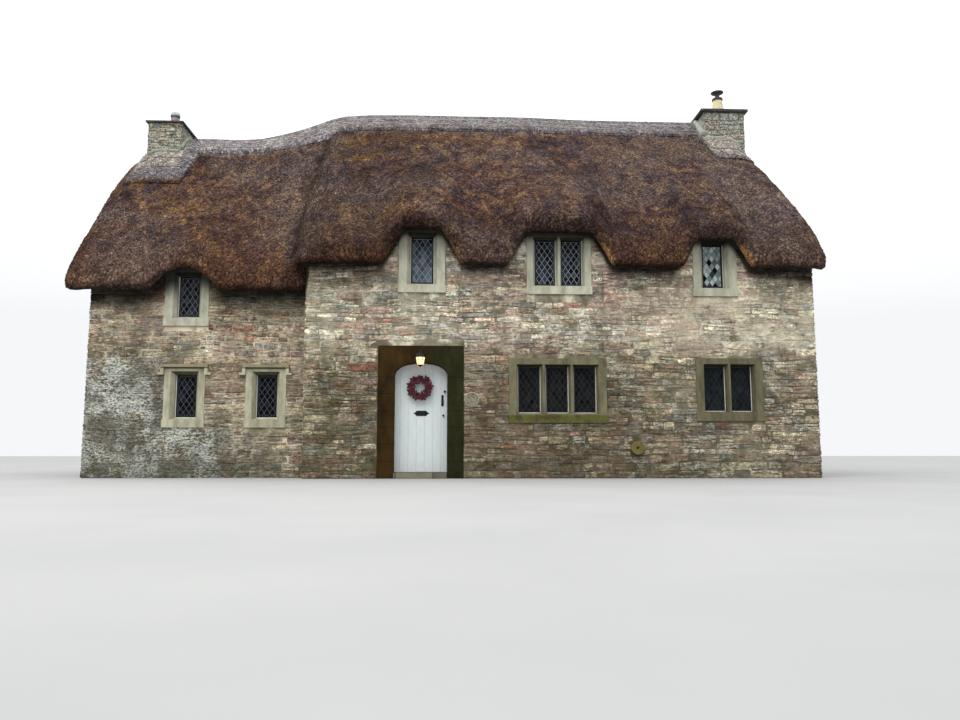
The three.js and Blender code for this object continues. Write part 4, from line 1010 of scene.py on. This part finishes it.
def ridge_rods(cap):
    """Hazel liggers along the cap and across the aprons, with short spars crossing between them."""
    tree = tree_of(cap)
    draw = np.random.default_rng(41)
    rods = Shape()

    def rod(places, radius=ROD, tone=(1, 1, 1)):
        hits = [dropped(tree, x, y) for x, y in places]
        path = [spot + normal * (ROD * 0.5) for spot, normal in hits if spot is not None and normal.z > 0.15]
        if len(path) > 1:
            rods.tube(path, radius, 5, tone)

    (left, right), (inner, outer) = CAP_ENDS, CAP_RODS
    for side in (-1, 1):
        for share in CAP_RODS:
            for part in np.array_split(np.arange(left, right, 0.16), 6):
                part = np.append(part, part[-1] + 0.2)
                wave = draw.uniform(-0.008, 0.008, len(part))
                rod([(x, side * (cap_half(x) * share + w)) for x, w in zip(part, wave)])
        x = left + 0.1
        while x < right - 0.5:
            low, high = cap_half(x) * inner, cap_half(x) * outer
            step = draw.uniform(0.26, 0.4)
            for a, b in ((low, high), (high, low)):
                places = [(x + step * t, side * (a + (b - a) * t)) for t in (0, 0.33, 0.67, 1)]
                rod(places, ROD, SPAR)
            x += step * 1.3
    for near, far, upper, lower, spar in APRON_RODS:
        for side in (-1, 1):
            for y in (upper, lower):
                xs = np.arange(near, far, 0.14)
                rod([(x, side * (y + draw.uniform(-0.01, 0.01))) for x in xs], ROD * 1.1, DARK_ROD)
            for x in np.arange(near + 0.08, far - 0.2, 0.3):
                for a, b in ((upper, lower), (lower, upper)):
                    rod([(x + 0.24 * t, side * (a + (b - a) * t)) for t in (0, 0.5, 1)], ROD * 0.9, spar)
    rods.piece("ridge_rods", "hazel", smooth=True)


# Rubble walling: the stones' colours, and how often each turns up in each part
PARTS = ("wing", "main", "right", "stack")
STONES = [
    ((160, 147, 126), (5, 6, 5, 3)),
    ((184, 173, 150), (3, 3, 6, 1)),
    ((172, 166, 152), (3, 3, 4, 3)),
    ((138, 134, 123), (3.4, 4, 2, 6)),
    ((120, 120, 113), (2, 1, 0.5, 5)),
    ((164, 138, 122), (2.6, 2, 1.6, 0.4)),
    ((146, 127, 117), (2, 1.6, 1, 0.4)),
    ((140, 104, 88), (0.4, 0.15, 0.12, 0.1)),
    ((130, 113, 94), (2.4, 2, 1, 2)),
]


class Walling:
    """One plane of rubble that faces to the right of the way it runs, with the mix of its stones."""

    def __init__(self, start, way, length, low, high, mix):
        self.start = np.array((*start, 0), float)
        self.along = np.array((*way, 0), float)
        self.out = np.array((way[1], -way[0], 0), float)
        self.length, self.low, self.high, self.mix = length, low, high, mix

    def place(self, u, z, depth=0.0):
        spot = self.start + self.along * u + self.out * depth
        return Vector((spot[0], spot[1], z))


def course_lines():
    """Heights of the level joints that run right round the building."""
    draw = np.random.default_rng(7)
    lines = [0.0]
    while lines[-1] < COURSES_TOP:
        lines.append(lines[-1] + draw.uniform(*COURSE))
    return lines


def open_spans(wall, tree, cover, z0, z1):
    """The stretches of a course where the wall's own face shows, as pairs of lengths along it."""
    inward = Vector(-wall.out)
    count = int(round(wall.length / SAMPLE))
    shows = []
    for k in range(count):
        u = (k + 0.5) * wall.length / count
        heights = (z0 + 0.008, (z0 + z1) / 2, z1 - 0.008)
        hits = [tree.ray_cast(wall.place(u, z, PROBE), inward, PROBE + 0.01) for z in heights]
        seen = all(spot is not None and abs(far - PROBE) < 0.002 for spot, _, _, far in hits)
        if seen and cover is not None:
            spot = wall.place(u, 0, 0.04)
            above, _ = dropped(cover, spot.x, spot.y)
            seen = above is None or above.z < z1 + 0.03
        shows.append(seen)
    changes = np.flatnonzero(np.diff([False, *shows, False]))
    return (changes * wall.length / count).reshape(-1, 2)


def fill_span(a, b, z0, z1, draw, size):
    """Stones side by side from a to b, now and then two thin ones where one could be."""
    least, most = (length * size for length in STONE_LENGTH)
    tall = z1 - z0
    u = a
    while b - u > 0.03:
        w = min(most, least + draw.exponential(0.15 * size) + tall * 0.4)
        if b - u - w < least * 0.8:
            w = b - u if b - u < most * 1.1 else (b - u) / 2
        whole = [(u, u + w)]
        if tall > SPLIT_OVER and draw.random() < 0.3:
            cut = z0 + tall * draw.uniform(0.38, 0.62)
            inner = u + w * draw.uniform(0.35, 0.65)
            halves = [(u, inner), (inner, u + w)]
            lower, upper = (whole if draw.random() < 0.6 else halves for _ in range(2))
            yield from ((p, q, z0, cut) for p, q in lower)
            yield from ((p, q, cut, z1) for p, q in upper)
        else:
            yield u, u + w, z0, z1
        u += w


def stones_of(wall, tree, cover, lines, draw):
    """Corner values of every stone of a plane of walling."""
    found = []
    corner = PROUD[1]
    size = STACK_SIZE if wall.mix == "stack" else 1
    for z0, z1 in zip(lines, lines[1:]):
        if z1 < wall.low or z0 > wall.high:
            continue
        for a, b in open_spans(wall, tree, cover, z0, z1):
            a -= corner if a < 0.001 else 0
            b += corner if b > wall.length - 0.001 else 0
            found.extend(fill_span(a, b, z0, z1, draw, size))
    return np.array(found)


def stone_points(wall, rows, draw, sides):
    """Points of all the stones of a wall: a back ring, a ring at the arris, an inner ring and a middle."""
    count = len(rows)
    u0, u1, z0, z1 = rows.T
    a = (u1 - u0 - draw.uniform(*END, count)) / 2
    b = (z1 - z0 - draw.uniform(*BED, count)) / 2
    cu, cz = (u0 + u1) / 2, (z0 + z1) / 2
    zero = np.zeros(count)
    least = np.minimum(a, b)[:, None]
    cut = (least * draw.uniform(0.04, 0.55, (count, 4)) ** 1.4).T
    rise = (least * draw.uniform(0.04, 0.55, (count, 4))).T
    slide = (a[:, None] * draw.uniform(-0.4, 0.4, (count, 2))).T
    across = [cut[0] - a, slide[0], a - cut[1], a, a, a, a - cut[2], slide[1], cut[3] - a, -a, -a, -a]
    upward = [-b, -b, -b, rise[1] - b, zero, b - rise[2], b, b, b, b - rise[3], zero, rise[0] - b]
    if sides == 8:
        across, upward = ([v for k, v in enumerate(values) if k % 3 != 1] for values in (across, upward))
    across, upward = np.stack(across, 1), np.stack(upward, 1)
    across = across + draw.uniform(-1, 0.6, across.shape) * np.sign(across) * least * 0.12
    upward = upward + draw.uniform(-1, 0.6, upward.shape) * np.sign(upward) * least * 0.14
    proud = draw.uniform(*PROUD, count)[:, None]
    lean = draw.uniform(-0.06, 0.06, (count, 2))
    arris = np.minimum(0.008, least * 0.3)
    inner = 1 - arris / least * draw.uniform(0.8, 1.5, (count, 1))

    def tilt(du, dz):
        return np.clip(lean[:, :1] * du + lean[:, 1:] * dz, -0.005, 0.005)

    rings = [
        (across, upward, np.full(across.shape, -EMBED)),
        (across, upward, proud - arris * 0.7 + tilt(across, upward)),
        (across * inner, upward * inner, proud + tilt(across, upward)),
        (zero[:, None], zero[:, None], proud + draw.uniform(0, 0.002, (count, 1))),
    ]
    points = []
    for du, dz, depth in rings:
        spot = wall.start + wall.along * (cu[:, None] + du)[..., None] + wall.out * depth[..., None]
        spot[..., 2] = cz[:, None] + dz
        points.append(spot)
    points = np.concatenate(points, 1)
    x, y, z = points[..., 0], points[..., 1], points[..., 2]
    wander = 0.018 * np.sin(1.3 * x + 1.7 * y + 2.3 * z) + 0.012 * np.sin(4.1 * x - 2.7 * y + 4.9 * z)
    wander += 0.005 * np.sin(11 * x + 9 * y + 7 * z)
    points[..., 2] = np.maximum(z + wander * ease(z, 0, 0.25), 0.001)
    return points


def stone_faces(count, sides):
    """Corner numbers of the two bands, the front and the back of count stones."""
    j = np.arange(sides)
    k = (j + 1) % sides
    bands = [np.stack([r + j, r + k, r + sides + k, r + sides + j], 1) for r in (0, sides)]
    front = np.stack([2 * sides + j, 2 * sides + k, np.full(sides, 3 * sides)], 1)
    first = np.arange(count)[:, None, None] * (3 * sides + 1)
    groups = (np.concatenate(bands), front, j[::-1][None])
    return [(first + group[None]).reshape(-1, group.shape[1]) for group in groups]


def stone_colours(wall, rows, draw):
    """A colour for each stone, drawn from the mix of its part of the building."""
    count = len(rows)
    palette = np.array([srgb(*colour) for colour, _ in STONES])
    middle = wall.start + wall.along * ((rows[:, 0] + rows[:, 1]) / 2)[:, None]
    mixes = [wall.mix] * count
    if wall.mix == "main":
        mixes = ["right" if x > 3.2 else "main" for x in middle[:, 0] + draw.normal(0, 0.7, count)]
    often = dict(zip(PARTS, np.array([weights for _, weights in STONES], float).T))
    picks = [draw.choice(len(STONES), p=often[m] / often[m].sum()) for m in mixes]
    shade = np.exp(draw.normal(0.08, 0.2, count))[:, None]
    return palette[picks] * shade * draw.uniform(0.97, 1.03, (count, 3))


def lay_stones(name, walls, tree, cover, lines, look, sides, seed):
    """All the stones of some planes of walling, as one piece."""
    points, faces, colours, first = [], [], [], 0
    for k, wall in enumerate(walls):
        draw = np.random.default_rng(seed + k)
        rows = stones_of(wall, tree, cover, lines, draw)
        points.append(stone_points(wall, rows, draw, sides).reshape(-1, 3))
        colours.append(np.repeat(stone_colours(wall, rows, draw), 3 * sides + 1, 0))
        faces += [group + first for group in stone_faces(len(rows), sides)]
        first += len(points[-1])
    mesh = mesh_of(name, np.concatenate(points), faces, np.concatenate(colours))
    piece(name, mesh, look, "rubble_stone")


def rubble(cap):
    """Stones on every outer wall and on both stacks; the roof that covers the stacks' feet is handed on."""
    lines = course_lines()
    walls = [n for n in solids if "wall" in n and n != "wall_lamp" or n.endswith("stack")]
    tree = tree_of(*walls)
    house, wing, step = RIGHT - JOG, JOG - LEFT, MAIN_FACE - WING_FACE
    top, left_top, right_top = (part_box(f"{n}_wall")[1].z for n in ("main_back", "left_gable", "right_gable"))
    right, left, back, front = (1, 0), (-1, 0), (0, 1), (0, -1)
    planes = {
        "front": (12, 100, [((JOG, -MAIN_FACE), right, house, 0, top, "main"),
                            ((LEFT, -WING_FACE), right, wing, 0, top, "wing"),
                            ((JOG, -WING_FACE), front, step, 0, top, "main")]),
        "back": (8, 110, [((RIGHT, MAIN_FACE), left, house, 0, top, "main"),
                          ((JOG, WING_FACE), left, wing, 0, top, "wing"),
                          ((JOG, MAIN_FACE), front, step, 0, top, "main")]),
        "left_gable": (8, 120, [((LEFT, WING_FACE), front, 2 * WING_FACE, 0, left_top, "wing")]),
        "right_gable": (8, 130, [((RIGHT, -MAIN_FACE), back, 2 * MAIN_FACE, 0, right_top, "right")]),
    }
    for name, (sides, seed, rows) in planes.items():
        faces = [Walling(*row) for row in rows]
        lay_stones(f"{name}_stones", faces, tree, None, lines, "wall_stones", sides, seed)
    roof = tree_of(cap, *THATCH)
    for k, name in enumerate(("left", "right")):
        low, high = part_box(f"{name}_chimney_stack")
        wide, deep = high.x - low.x, high.y - low.y
        rows = (((low.x, low.y), right, wide), ((high.x, high.y), left, wide),
                ((low.x, high.y), front, deep), ((high.x, low.y), back, deep))
        faces = [Walling(*row, low.z, high.z, "stack") for row in rows]
        shorter = [z for z in lines if z < high.z - 0.05] + [high.z]
        lay_stones(f"{name}_stack_stones", faces, tree, roof, shorter, "stack_stones", 8, 140 + 10 * k)
    return roof


def stack_fillets(roof):
    """Mortar run into the angle between the thatch and each stack."""
    for side, rise, across, beside in (("left", 0.035, 0.046, 0.05), ("right", 0.012, 0.036, 0.085)):
        low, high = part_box(f"{side}_chimney_stack")
        fillet = Shape()
        turn = 1 if side == "left" else -1
        outer, inner = (low.x, high.x) if side == "left" else (high.x, low.x)
        corners = [(outer, low.y), (inner, low.y), (inner, high.y), (outer, high.y)]
        for (xa, ya), (xb, yb) in zip(corners, corners[1:]):
            away = Vector((turn if xa == xb else 0, (-1 if ya < 0 else 1) if ya == yb else 0, 0)) * 0.04
            path = []
            for t in np.linspace(0.02, 0.98, 14):
                x, y = xa + (xb - xa) * t, ya + (yb - ya) * t
                spot, _ = dropped(roof, x + away.x, y + away.y)
                if spot is not None:
                    path.append(Vector((x, y, spot.z + rise)) + away * 0.25)
            if len(path) > 2:
                fillet.tube(path, across if ya == yb else beside, 8)
        fillet.piece(f"{side}_stack_fillet", "fillet", "rubble_stone", smooth=True)


# Windows
def clipped(outline, x0, x1, z0, z1):
    """The part of a convex outline of x, z pairs that lies in a rectangle."""
    for axis, limit, keep in ((0, x0, 1), (0, x1, -1), (1, z0, 1), (1, z1, -1)):
        kept = []
        for k, p in enumerate(outline):
            q = outline[(k + 1) % len(outline)]
            p_in, q_in = (p[axis] - limit) * keep >= 0, (q[axis] - limit) * keep >= 0
            if p_in:
                kept.append(p)
            if p_in != q_in:
                t = (limit - p[axis]) / (q[axis] - p[axis])
                kept.append((p[0] + (q[0] - p[0]) * t, p[1] + (q[1] - p[1]) * t))
        outline = kept
        if len(outline) < 3:
            return []
    return outline


def window(name, count, width, sky_reflection, draw):
    """Iron casements with leaded quarries, and the pale mastic that beds them in the stone."""
    low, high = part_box(f"window_glazing_{name}")
    out = -1 if high.y < 0 else 1
    front = low.y if out < 0 else high.y
    back = front - out * CASEMENT["depth"]
    rim = back + out * 0.002
    z0, z1 = low.z + REBATE, high.z - REBATE
    m, f = CASEMENT["mastic"], CASEMENT["width"]
    glass, lead, iron, mastic = (Shape() for _ in range(4))

    def slab(shape, x_a, x_b, z_a, z_b, y_a, y_b, bevel=0.0):
        shape.block((x_a, min(y_a, y_b), z_a), (x_b, max(y_a, y_b), z_b), bevel)

    slab(iron, low.x, high.x, low.z, high.z, back, back + out * 0.005)
    start = (low.x + high.x) / 2 - (count * width + (count - 1) * MULLION) / 2
    for k in range(count):
        a = start + k * (width + MULLION)
        b = a + width
        for sides in ((a, a + m, z0, z1), (b - m, b, z0, z1), (a, b, z0, z0 + m)):
            slab(mastic, *sides, rim, front + out * 0.002, 0.002)
        c, d, e, g = a + m, b - m, z0 + m, z1
        for sides in ((c, c + f, e, g), (d - f, d, e, g), (c, d, e, e + f), (c, d, g - f, g)):
            slab(iron, *sides, rim, front, 0.003)
        opening = (c + f, d - f, e + f, g - f)
        leaded_light(glass, lead, opening, front - out * CASEMENT["glass"], out, draw, sky_reflection)
    iron.piece(f"window_frames_{name}", "black_iron", replaces=[f"window_glazing_{name}"])
    mastic.piece(f"window_mastic_{name}", "mastic", "dressed_stone")
    lead.piece(f"window_leads_{name}", "lead")
    glass.piece(f"window_panes_{name}", "leaded_glass")


def leaded_light(glass, lead, opening, plane, out, draw, sky_reflection):
    """Diamond quarries, each leaning a little its own way and tinted with a painted reflection of the sky, between
    lead cames whose lightness is partly wear and partly a painted sheen.
    """
    x0, x1, z0, z1 = opening
    w, h = QUARRY
    at_sill, at_head, spread, sky, lead_wear_and_sheen = sky_reflection
    mx, mz = (x0 + x1) / 2, (z0 + z1) / 2
    columns, rows = int((x1 - x0) / w) + 2, int((z1 - z0) / h) + 2
    for i in range(-columns, columns + 1):
        for j in range(-rows, rows + 1):
            cx, cz = mx + i * w / 2, mz + j * h / 2
            diamond = [(cx - w / 2, cz), (cx, cz - h / 2), (cx + w / 2, cz), (cx, cz + h / 2)]
            outline = [] if (i + j) % 2 else clipped(diamond, x0, x1, z0, z1)
            if not outline:
                continue
            lean_x, lean_z = draw.normal(0, 0.02, 2)
            face = [plane + (x - cx) * lean_x + (z - cz) * lean_z for x, z in outline]
            # painted reflection: the share of sky colour in this pane
            share = at_sill + (at_head - at_sill) * (cz - z0) / (z1 - z0) + draw.normal(0, spread)
            share = min(max(share, 0), 1)
            tone = np.array(srgb(*GLASS_NIGHT)) * (1 - share) + np.array(srgb(*sky)) * share
            rings = [[(x, y - out * t, z) for (x, z), y in zip(outline, face)] for t in (0.0, PANE)]
            glass.loft(rings, tuple(tone))
    y = plane + out * 0.001

    def came(xa, za, xb, zb):
        lead.bar((xa, y, za), (xb, y, zb), CAME, CAME, (0, out, 0), (lead_wear_and_sheen, lead_wear_and_sheen, lead_wear_and_sheen * 1.04))

    for way in (-1, 1):
        steep = way * h / w
        for i in range(-columns - rows, columns + rows + 1):
            cx = mx + (i + 0.5) * w
            heights = [min(max(mz + steep * (x - cx), z0), z1) for x in (x0, x1)]
            (xa, za), (xb, zb) = ((cx + (z - mz) / steep, z) for z in heights)
            if xb - xa > 0.012 and xa >= x0 - 1e-6 and xb <= x1 + 1e-6:
                came(xa, za, xb, zb)
    corners = ((x0, z0), (x1, z0), (x1, z1), (x0, z1))
    for k in range(4):
        came(*corners[k], *corners[(k + 1) % 4])


# Front door
def door():
    """Planks cut to the arch of the leaf, on ledges, with long strap hinges behind."""
    low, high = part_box("door_leaf")
    tree = tree_of("door_leaf")
    front, back = low.y, low.y + DOOR_THICK
    chamfer = 0.003

    def head(x):
        hit = dropped(tree, x, front + 0.02, 4)[0]
        return hit.z if hit is not None else 1.8

    planks = Shape()
    edges = np.linspace(low.x + 0.002, high.x - 0.002, PLANKS + 1)
    edges[0], edges[-1] = low.x + HINGE_STILE, high.x - 0.001
    for a, b in zip(edges, edges[1:]):
        xs = np.linspace(a + 0.0006, b - 0.0006, 7)
        outline = [(xs[0], low.z), (xs[-1], low.z)] + [(x, head(x) - 0.001) for x in xs[::-1]]
        rings = []
        for y, inset in ((front, chamfer), (front + chamfer, 0), (back - chamfer, 0), (back, chamfer)):
            rings.append([(min(max(x, xs[0] + inset), xs[-1] - inset), y, z) for x, z in outline])
        planks.loft(rings)
    for z in LEDGES:
        planks.block((low.x + 0.09, back - 0.001, z), (high.x - 0.09, back + 0.02, z + 0.12), 0.004)
    planks.piece("door_planks", "white_paint", body="door", replaces=["door_leaf"])
    hinge_x, hinge_y, _ = frame["joints"][0]["pos_m"]
    straps = Shape()
    for z in STRAPS:
        straps.tube([(hinge_x, hinge_y, z), (hinge_x, hinge_y, z + 0.044)], 0.014, 20)
        mid, y0, y1 = z + 0.022, back - 0.002, back + 0.008
        rings = []
        for along, tall in ((0, 0.02), (0.42, 0.014), (0.57, 0.01), (0.62, 0.019), (0.65, 0.003)):
            ends = ((y0, -tall), (y1, -tall), (y1, tall), (y0, tall))
            rings.append([(hinge_x + along, y, mid + up) for y, up in ends])
        straps.loft(rings)
        for along in NAILS:
            nail = [(0.009, 0), (0.008, 0.003), (0.003, 0.006)]
            straps.lathe(nail, (hinge_x + along, y1, mid), 10, facing=1)
    straps.piece("door_straps", "black_iron", body="door")


def middle_of(node):
    """A solid's low and high corners, and the x and z of its middle."""
    low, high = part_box(node)
    return low, high, (low.x + high.x) / 2, (low.z + high.z) / 2


def door_furniture():
    """The letter plate with its flap, and the latch with a grip and two knobs."""
    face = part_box("door_leaf")[0].y - 0.0004
    low, high, x, z = middle_of("door_letter_plate")
    half, tall = (high.x - low.x) / 2, (high.z - low.z) / 2
    plate = Shape()
    outline = [(-half, 0), (-half + 0.03, -0.012), (-half + 0.042, -0.02), (-half + 0.05, -tall + 0.012),
               (-half + 0.066, -tall), (0, -tall)]
    right = [(-px, pz) for px, pz in outline[::-1]]
    upper = [(px, -pz) for px, pz in (outline[1:] + right[1:-1])[::-1]]
    ring = outline + right[1:] + upper
    depths = ((0, 1.0), (0.004, 1.0), (0.007, 0.96))
    plate.loft([[(x + px * s, face - d, z + pz * s) for px, pz in ring] for d, s in depths])
    flap, drop = half * 0.6, tall * 0.62
    plate.block((x - flap, face - 0.013, z - drop), (x + flap, face - 0.006, z + drop), 0.003)
    rail = z + tall * 0.6
    plate.bar((x - flap, face - 0.015, rail), (x + flap, face - 0.015, rail), 0.009, 0.008, (0, 1, 0))
    plate.piece("letter_plate_iron", "black_iron", body="door", replaces=["door_letter_plate"])
    low, high, x, z = middle_of("door_latch")
    latch = Shape()
    latch.block((low.x, face - 0.007, low.z), (high.x, face, high.z), 0.003)
    grip = ((0.004, 0.066, 0.006), (0.03, 0.06, 0.007), (0.037, 0.03, 0.009), (0.039, 0, 0.01),
            (0.037, -0.03, 0.009), (0.03, -0.056, 0.007), (0.004, -0.062, 0.006))
    latch.tube([(x, face - out, z + up) for out, up, _ in grip], [radius for _, _, radius in grip], 10)
    for side, up, r, reach in ((0.04, 0.159, 0.02, 0.03), (0.016, -0.263, 0.018, 0.026)):
        knob = [(r * 0.9, 0), (r * 0.9, 0.003), (r * 0.45, 0.006), (r * 0.45, reach * 0.4),
                (r * 0.9, reach * 0.6), (r, reach * 0.8), (r * 0.7, reach), (r * 0.2, reach)]
        latch.lathe(knob, (x + side, face, z + up), 20, facing=-1)
    latch.piece("latch_iron", "black_iron", body="door", replaces=["door_latch"])


def berry(shape, spot, radius, draw):
    shade = draw.uniform(0.6, 1.4)
    profile = [(0.15, -0.98), (0.7, -0.7), (1, 0), (0.7, 0.7), (0.15, 0.98)]
    tone = tuple(shade * c for c in srgb(96, 10, 28))
    shape.lathe([(radius * r, radius * h) for r, h in profile], tuple(spot), 7, tone)


def petal(shape, centre, turn, layer, draw):
    """One pointed petal of a rosette, of the wide outer layer or the small inner one."""
    long = (0.066 if layer else 0.098) * draw.uniform(0.85, 1.1)
    way = Vector((math.cos(turn), -0.25 - 0.5 * layer, math.sin(turn))).normalized()
    across = way.cross(Vector((0, 1, 0))).normalized()
    lift = across.cross(way).normalized() * 0.003
    shade = draw.uniform(0.5, 1.3)
    tone = tuple(shade * c for c in (srgb(88, 12, 30) if draw.random() < 0.6 else srgb(52, 14, 26)))
    rings = []
    for t, wide in ((0.02, 0.35), (0.3, 0.95), (0.6, 1.0), (0.85, 0.5), (1.0, 0.06)):
        spot = centre + way * long * t
        w = across * (0.028 * wide * (0.75 if layer else 1))
        rings.append([spot - w, spot - lift * 1.6, spot + w, spot + lift * 0.6])
    shape.loft(rings, tone)


def wreath():
    """Rosettes of pointed petals round a ring, with berries between them."""
    low, high, x, _ = middle_of("door_wreath")
    face, z, ring, thick = high.y, WREATH["height"], WREATH["ring"], WREATH["thick"]
    twig = srgb(60, 16, 22)
    draw = np.random.default_rng(61)
    made = Shape()

    def on_ring(angle, reach, depth):
        return Vector((x + reach * math.cos(angle), face - depth, z + reach * math.sin(angle)))

    steps = 40
    made.tube([on_ring(2 * math.pi * t / steps, ring, 0.045) for t in range(steps + 1)], 0.032, 8, twig)
    for k in range(WREATH["rosettes"]):
        angle = 2 * math.pi * (k + 0.2) / WREATH["rosettes"]
        centre = on_ring(angle, ring + draw.uniform(-0.008, 0.012), 0.07)
        for layer, petals in ((0, 7), (1, 5)):
            for p in range(petals):
                turn = 2 * math.pi * (p + 0.4 * layer) / petals + draw.uniform(-0.2, 0.2)
                petal(made, centre, turn, layer, draw)
        for _ in range(5):
            offset = Vector(draw.normal(0, 0.011, 3)) + Vector((0, -0.012, 0))
            berry(made, centre + offset, draw.uniform(0.008, 0.012), draw)
    for _ in range(WREATH["berries"]):
        angle = draw.uniform(0, 2 * math.pi)
        reach = ring + draw.normal(0, thick * 0.45)
        spot = on_ring(angle, reach, draw.uniform(0.05, 0.085))
        berry(made, spot, draw.uniform(0.007, 0.012), draw)
    hook = ((0.03, 0), (0.02, thick), (0.002, thick + 0.01))
    made.tube([(x, face - depth, z + ring + up) for depth, up in hook], 0.004, 8, twig)
    made.piece("wreath_sprays", "red_berries", body="door", replaces=["door_wreath"])


def lamp():
    """A six-sided coach lamp: lit panes between thin bars, a flared hood and a scrolled arm."""
    low, high, x, _ = middle_of("wall_lamp")
    wall = high.y
    y = wall - 0.11
    foot, head = low.z + 0.034, low.z + 0.172
    glass = Shape()
    glass.lathe([(0.052, foot + 0.004), (0.076, head - 0.004)], (x, y, 0), LAMP_SIDES)
    glass.piece("lamp_panes", "lamp_glass")
    iron = Shape()

    def corner(k, r, z):
        angle = 2 * math.pi * k / LAMP_SIDES
        return x + r * math.cos(angle), y + r * math.sin(angle), z

    for k in range(LAMP_SIDES):
        iron.tube([corner(k, 0.056, foot), corner(k, 0.081, head)], 0.0045)
        for r, z in ((0.056, foot), (0.0705, (foot + head) / 2 + 0.02), (0.081, head)):
            iron.tube([corner(k, r, z), corner(k + 1, r, z)], 0.0045)
    base = [(0.01, 0), (0.016, 0.006), (0.01, 0.014), (0.05, 0.03), (0.058, 0.034)]
    hood = [(0.09, 0), (0.104, 0.01), (0.1, 0.03), (0.062, 0.06), (0.03, 0.086), (0.014, 0.1), (0.017, 0.11),
            (0.009, 0.12), (0.004, 0.132)]
    iron.lathe(base, (x, y, low.z), 24)
    iron.lathe(hood, (x, y, head), 24)
    iron.block((x - 0.045, wall - 0.012, low.z + 0.14), (x + 0.045, wall, low.z + 0.325), 0.004)
    arm = ((0.01, 0.07), (0.035, 0.09), (0.06, 0.112), (0.085, 0.11), (0.11, 0.098))
    iron.tube([(x, wall - out, head + up) for out, up in arm], 0.008, 8)
    iron.piece("lamp_iron", "black_iron", replaces=["wall_lamp"])


# Chimney pots: side, part, look, slot, and radius and height pairs
POTS = [
    ("left", "rim", "dark_cowl", "brown_clay",
     [(0.085, 0.232), (0.098, 0.238), (0.1, 0.258), (0.088, 0.264)]),
    ("left", "clay", "brown_clay", "brown_clay",
     [(0.093, 0), (0.093, 0.056), (0.099, 0.066), (0.099, 0.106), (0.094, 0.114), (0.091, 0.122),
      (0.089, 0.24), (0.07, 0.25)]),
    ("left", "hood", "grey_hood", "brown_clay",
     [(0.08, 0.258), (0.1, 0.266), (0.103, 0.28), (0.103, 0.296), (0.095, 0.332), (0.07, 0.36),
      (0.036, 0.374), (0.006, 0.379)]),
    ("right", "clay", "buff_clay", "buff_clay",
     [(0.151, 0), (0.149, 0.145), (0.138, 0.18), (0.121, 0.235), (0.112, 0.3), (0.102, 0.38),
      (0.08, 0.385)]),
    ("right", "cowl", "dark_cowl", "chimney_slab",
     [(0.1, 0.376), (0.117, 0.39), (0.119, 0.402), (0.119, 0.428), (0.112, 0.438), (0.07, 0.45),
      (0.052, 0.462), (0.049, 0.49), (0.05, 0.525), (0.09, 0.546), (0.134, 0.567), (0.142, 0.578),
      (0.142, 0.584), (0.11, 0.598), (0.06, 0.607), (0.006, 0.611)]),
]


def pots():
    """Two clay pots: the left with a dark rim and a grey hood, the right with a dark cowl."""
    for side, part, look, slot, profile in POTS:
        low, _, x, _ = middle_of(f"{side}_chimney_pot")
        made = Shape()
        made.lathe(profile, (x, 0, low.z), 40)
        replaces = [f"{side}_chimney_pot"] if part == "clay" else ()
        made.piece(f"{side}_pot_{part}", look, slot, smooth=True, replaces=replaces)


# Studio
def aimed(thing, spot, way):
    """Puts a lamp or camera at a spot, looking along a way."""
    return assign(thing, location=spot, rotation_euler=way.to_track_quat("-Z", "Y").to_euler())


def studio():
    """A pale floor, a soft sky that is lighter behind and overhead, and one large soft lamp."""
    h = FLOOR_HALF
    corners = [(-h, -h, -0.002), (h, -h, -0.002), (h, h, -0.002), (-h, h, -0.002)]
    floor = placed("floor", mesh_of("floor", corners, [[(0, 1, 2, 3)]]))
    pale = plain_look("pale_floor", (0.6, 3, 0.5), (0.38, 0.38, 0.375), (0.41, 0.41, 0.4), specular=0.1)
    floor.data.materials.append(pale)
    world = bpy.data.worlds.new("overcast")
    world.use_nodes = True
    sky = Nodes(world.node_tree)
    where = sky.node("TexCoord").outputs["Generated"]
    way = sky.node("SeparateXYZ", {"Vector": where}).outputs
    level = sky.node("MapRange", {"Value": way["Y"], "From Min": -0.3, "From Max": 0.5,
                                  "To Min": SKY["front"], "To Max": SKY["behind"]}).outputs[0]
    climb = sky.node("MapRange", {"Value": way["Z"], "From Min": 0.15, "From Max": 0.9,
                                  "To Min": level, "To Max": SKY["overhead"]}).outputs[0]
    background = world.node_tree.nodes["Background"].inputs
    sky.put(background["Color"], (0.96, 0.98, 1.0))
    sky.put(background["Strength"], climb)
    bpy.context.scene.world = world
    bpy.context.scene.view_settings.view_transform = "Standard"
    light = bpy.data.lights.new("key", "AREA")
    assign(light, shape="DISK", size=12, energy=KEY, color=(1.0, 0.98, 0.95))
    aimed(placed("key", light), KEY_AT, Vector(KEY_TO) - Vector(KEY_AT))


def camera():
    data = assign(bpy.data.cameras.new("camera"), sensor_width=SENSOR, lens=CAMERA_FOCUS * SENSOR)
    level, climb = math.cos(CAMERA_PITCH), math.sin(CAMERA_PITCH)
    way = Vector((math.sin(CAMERA_YAW) * level, math.cos(CAMERA_YAW) * level, climb))
    bpy.context.scene.camera = aimed(placed("camera", data), CAMERA_AT, way)


camera()
studio()
dress_solids()
main_coats()
cap_mesh = ridge()
ridge_rods(cap_mesh)
stack_fillets(rubble(cap_mesh))
panes = np.random.default_rng(51)
for window_name, (lights, light_width, panes_reflection) in LIGHTS.items():
    window(window_name, lights, light_width, panes_reflection, panes)
door()
door_furniture()
wreath()
lamp()
pots()
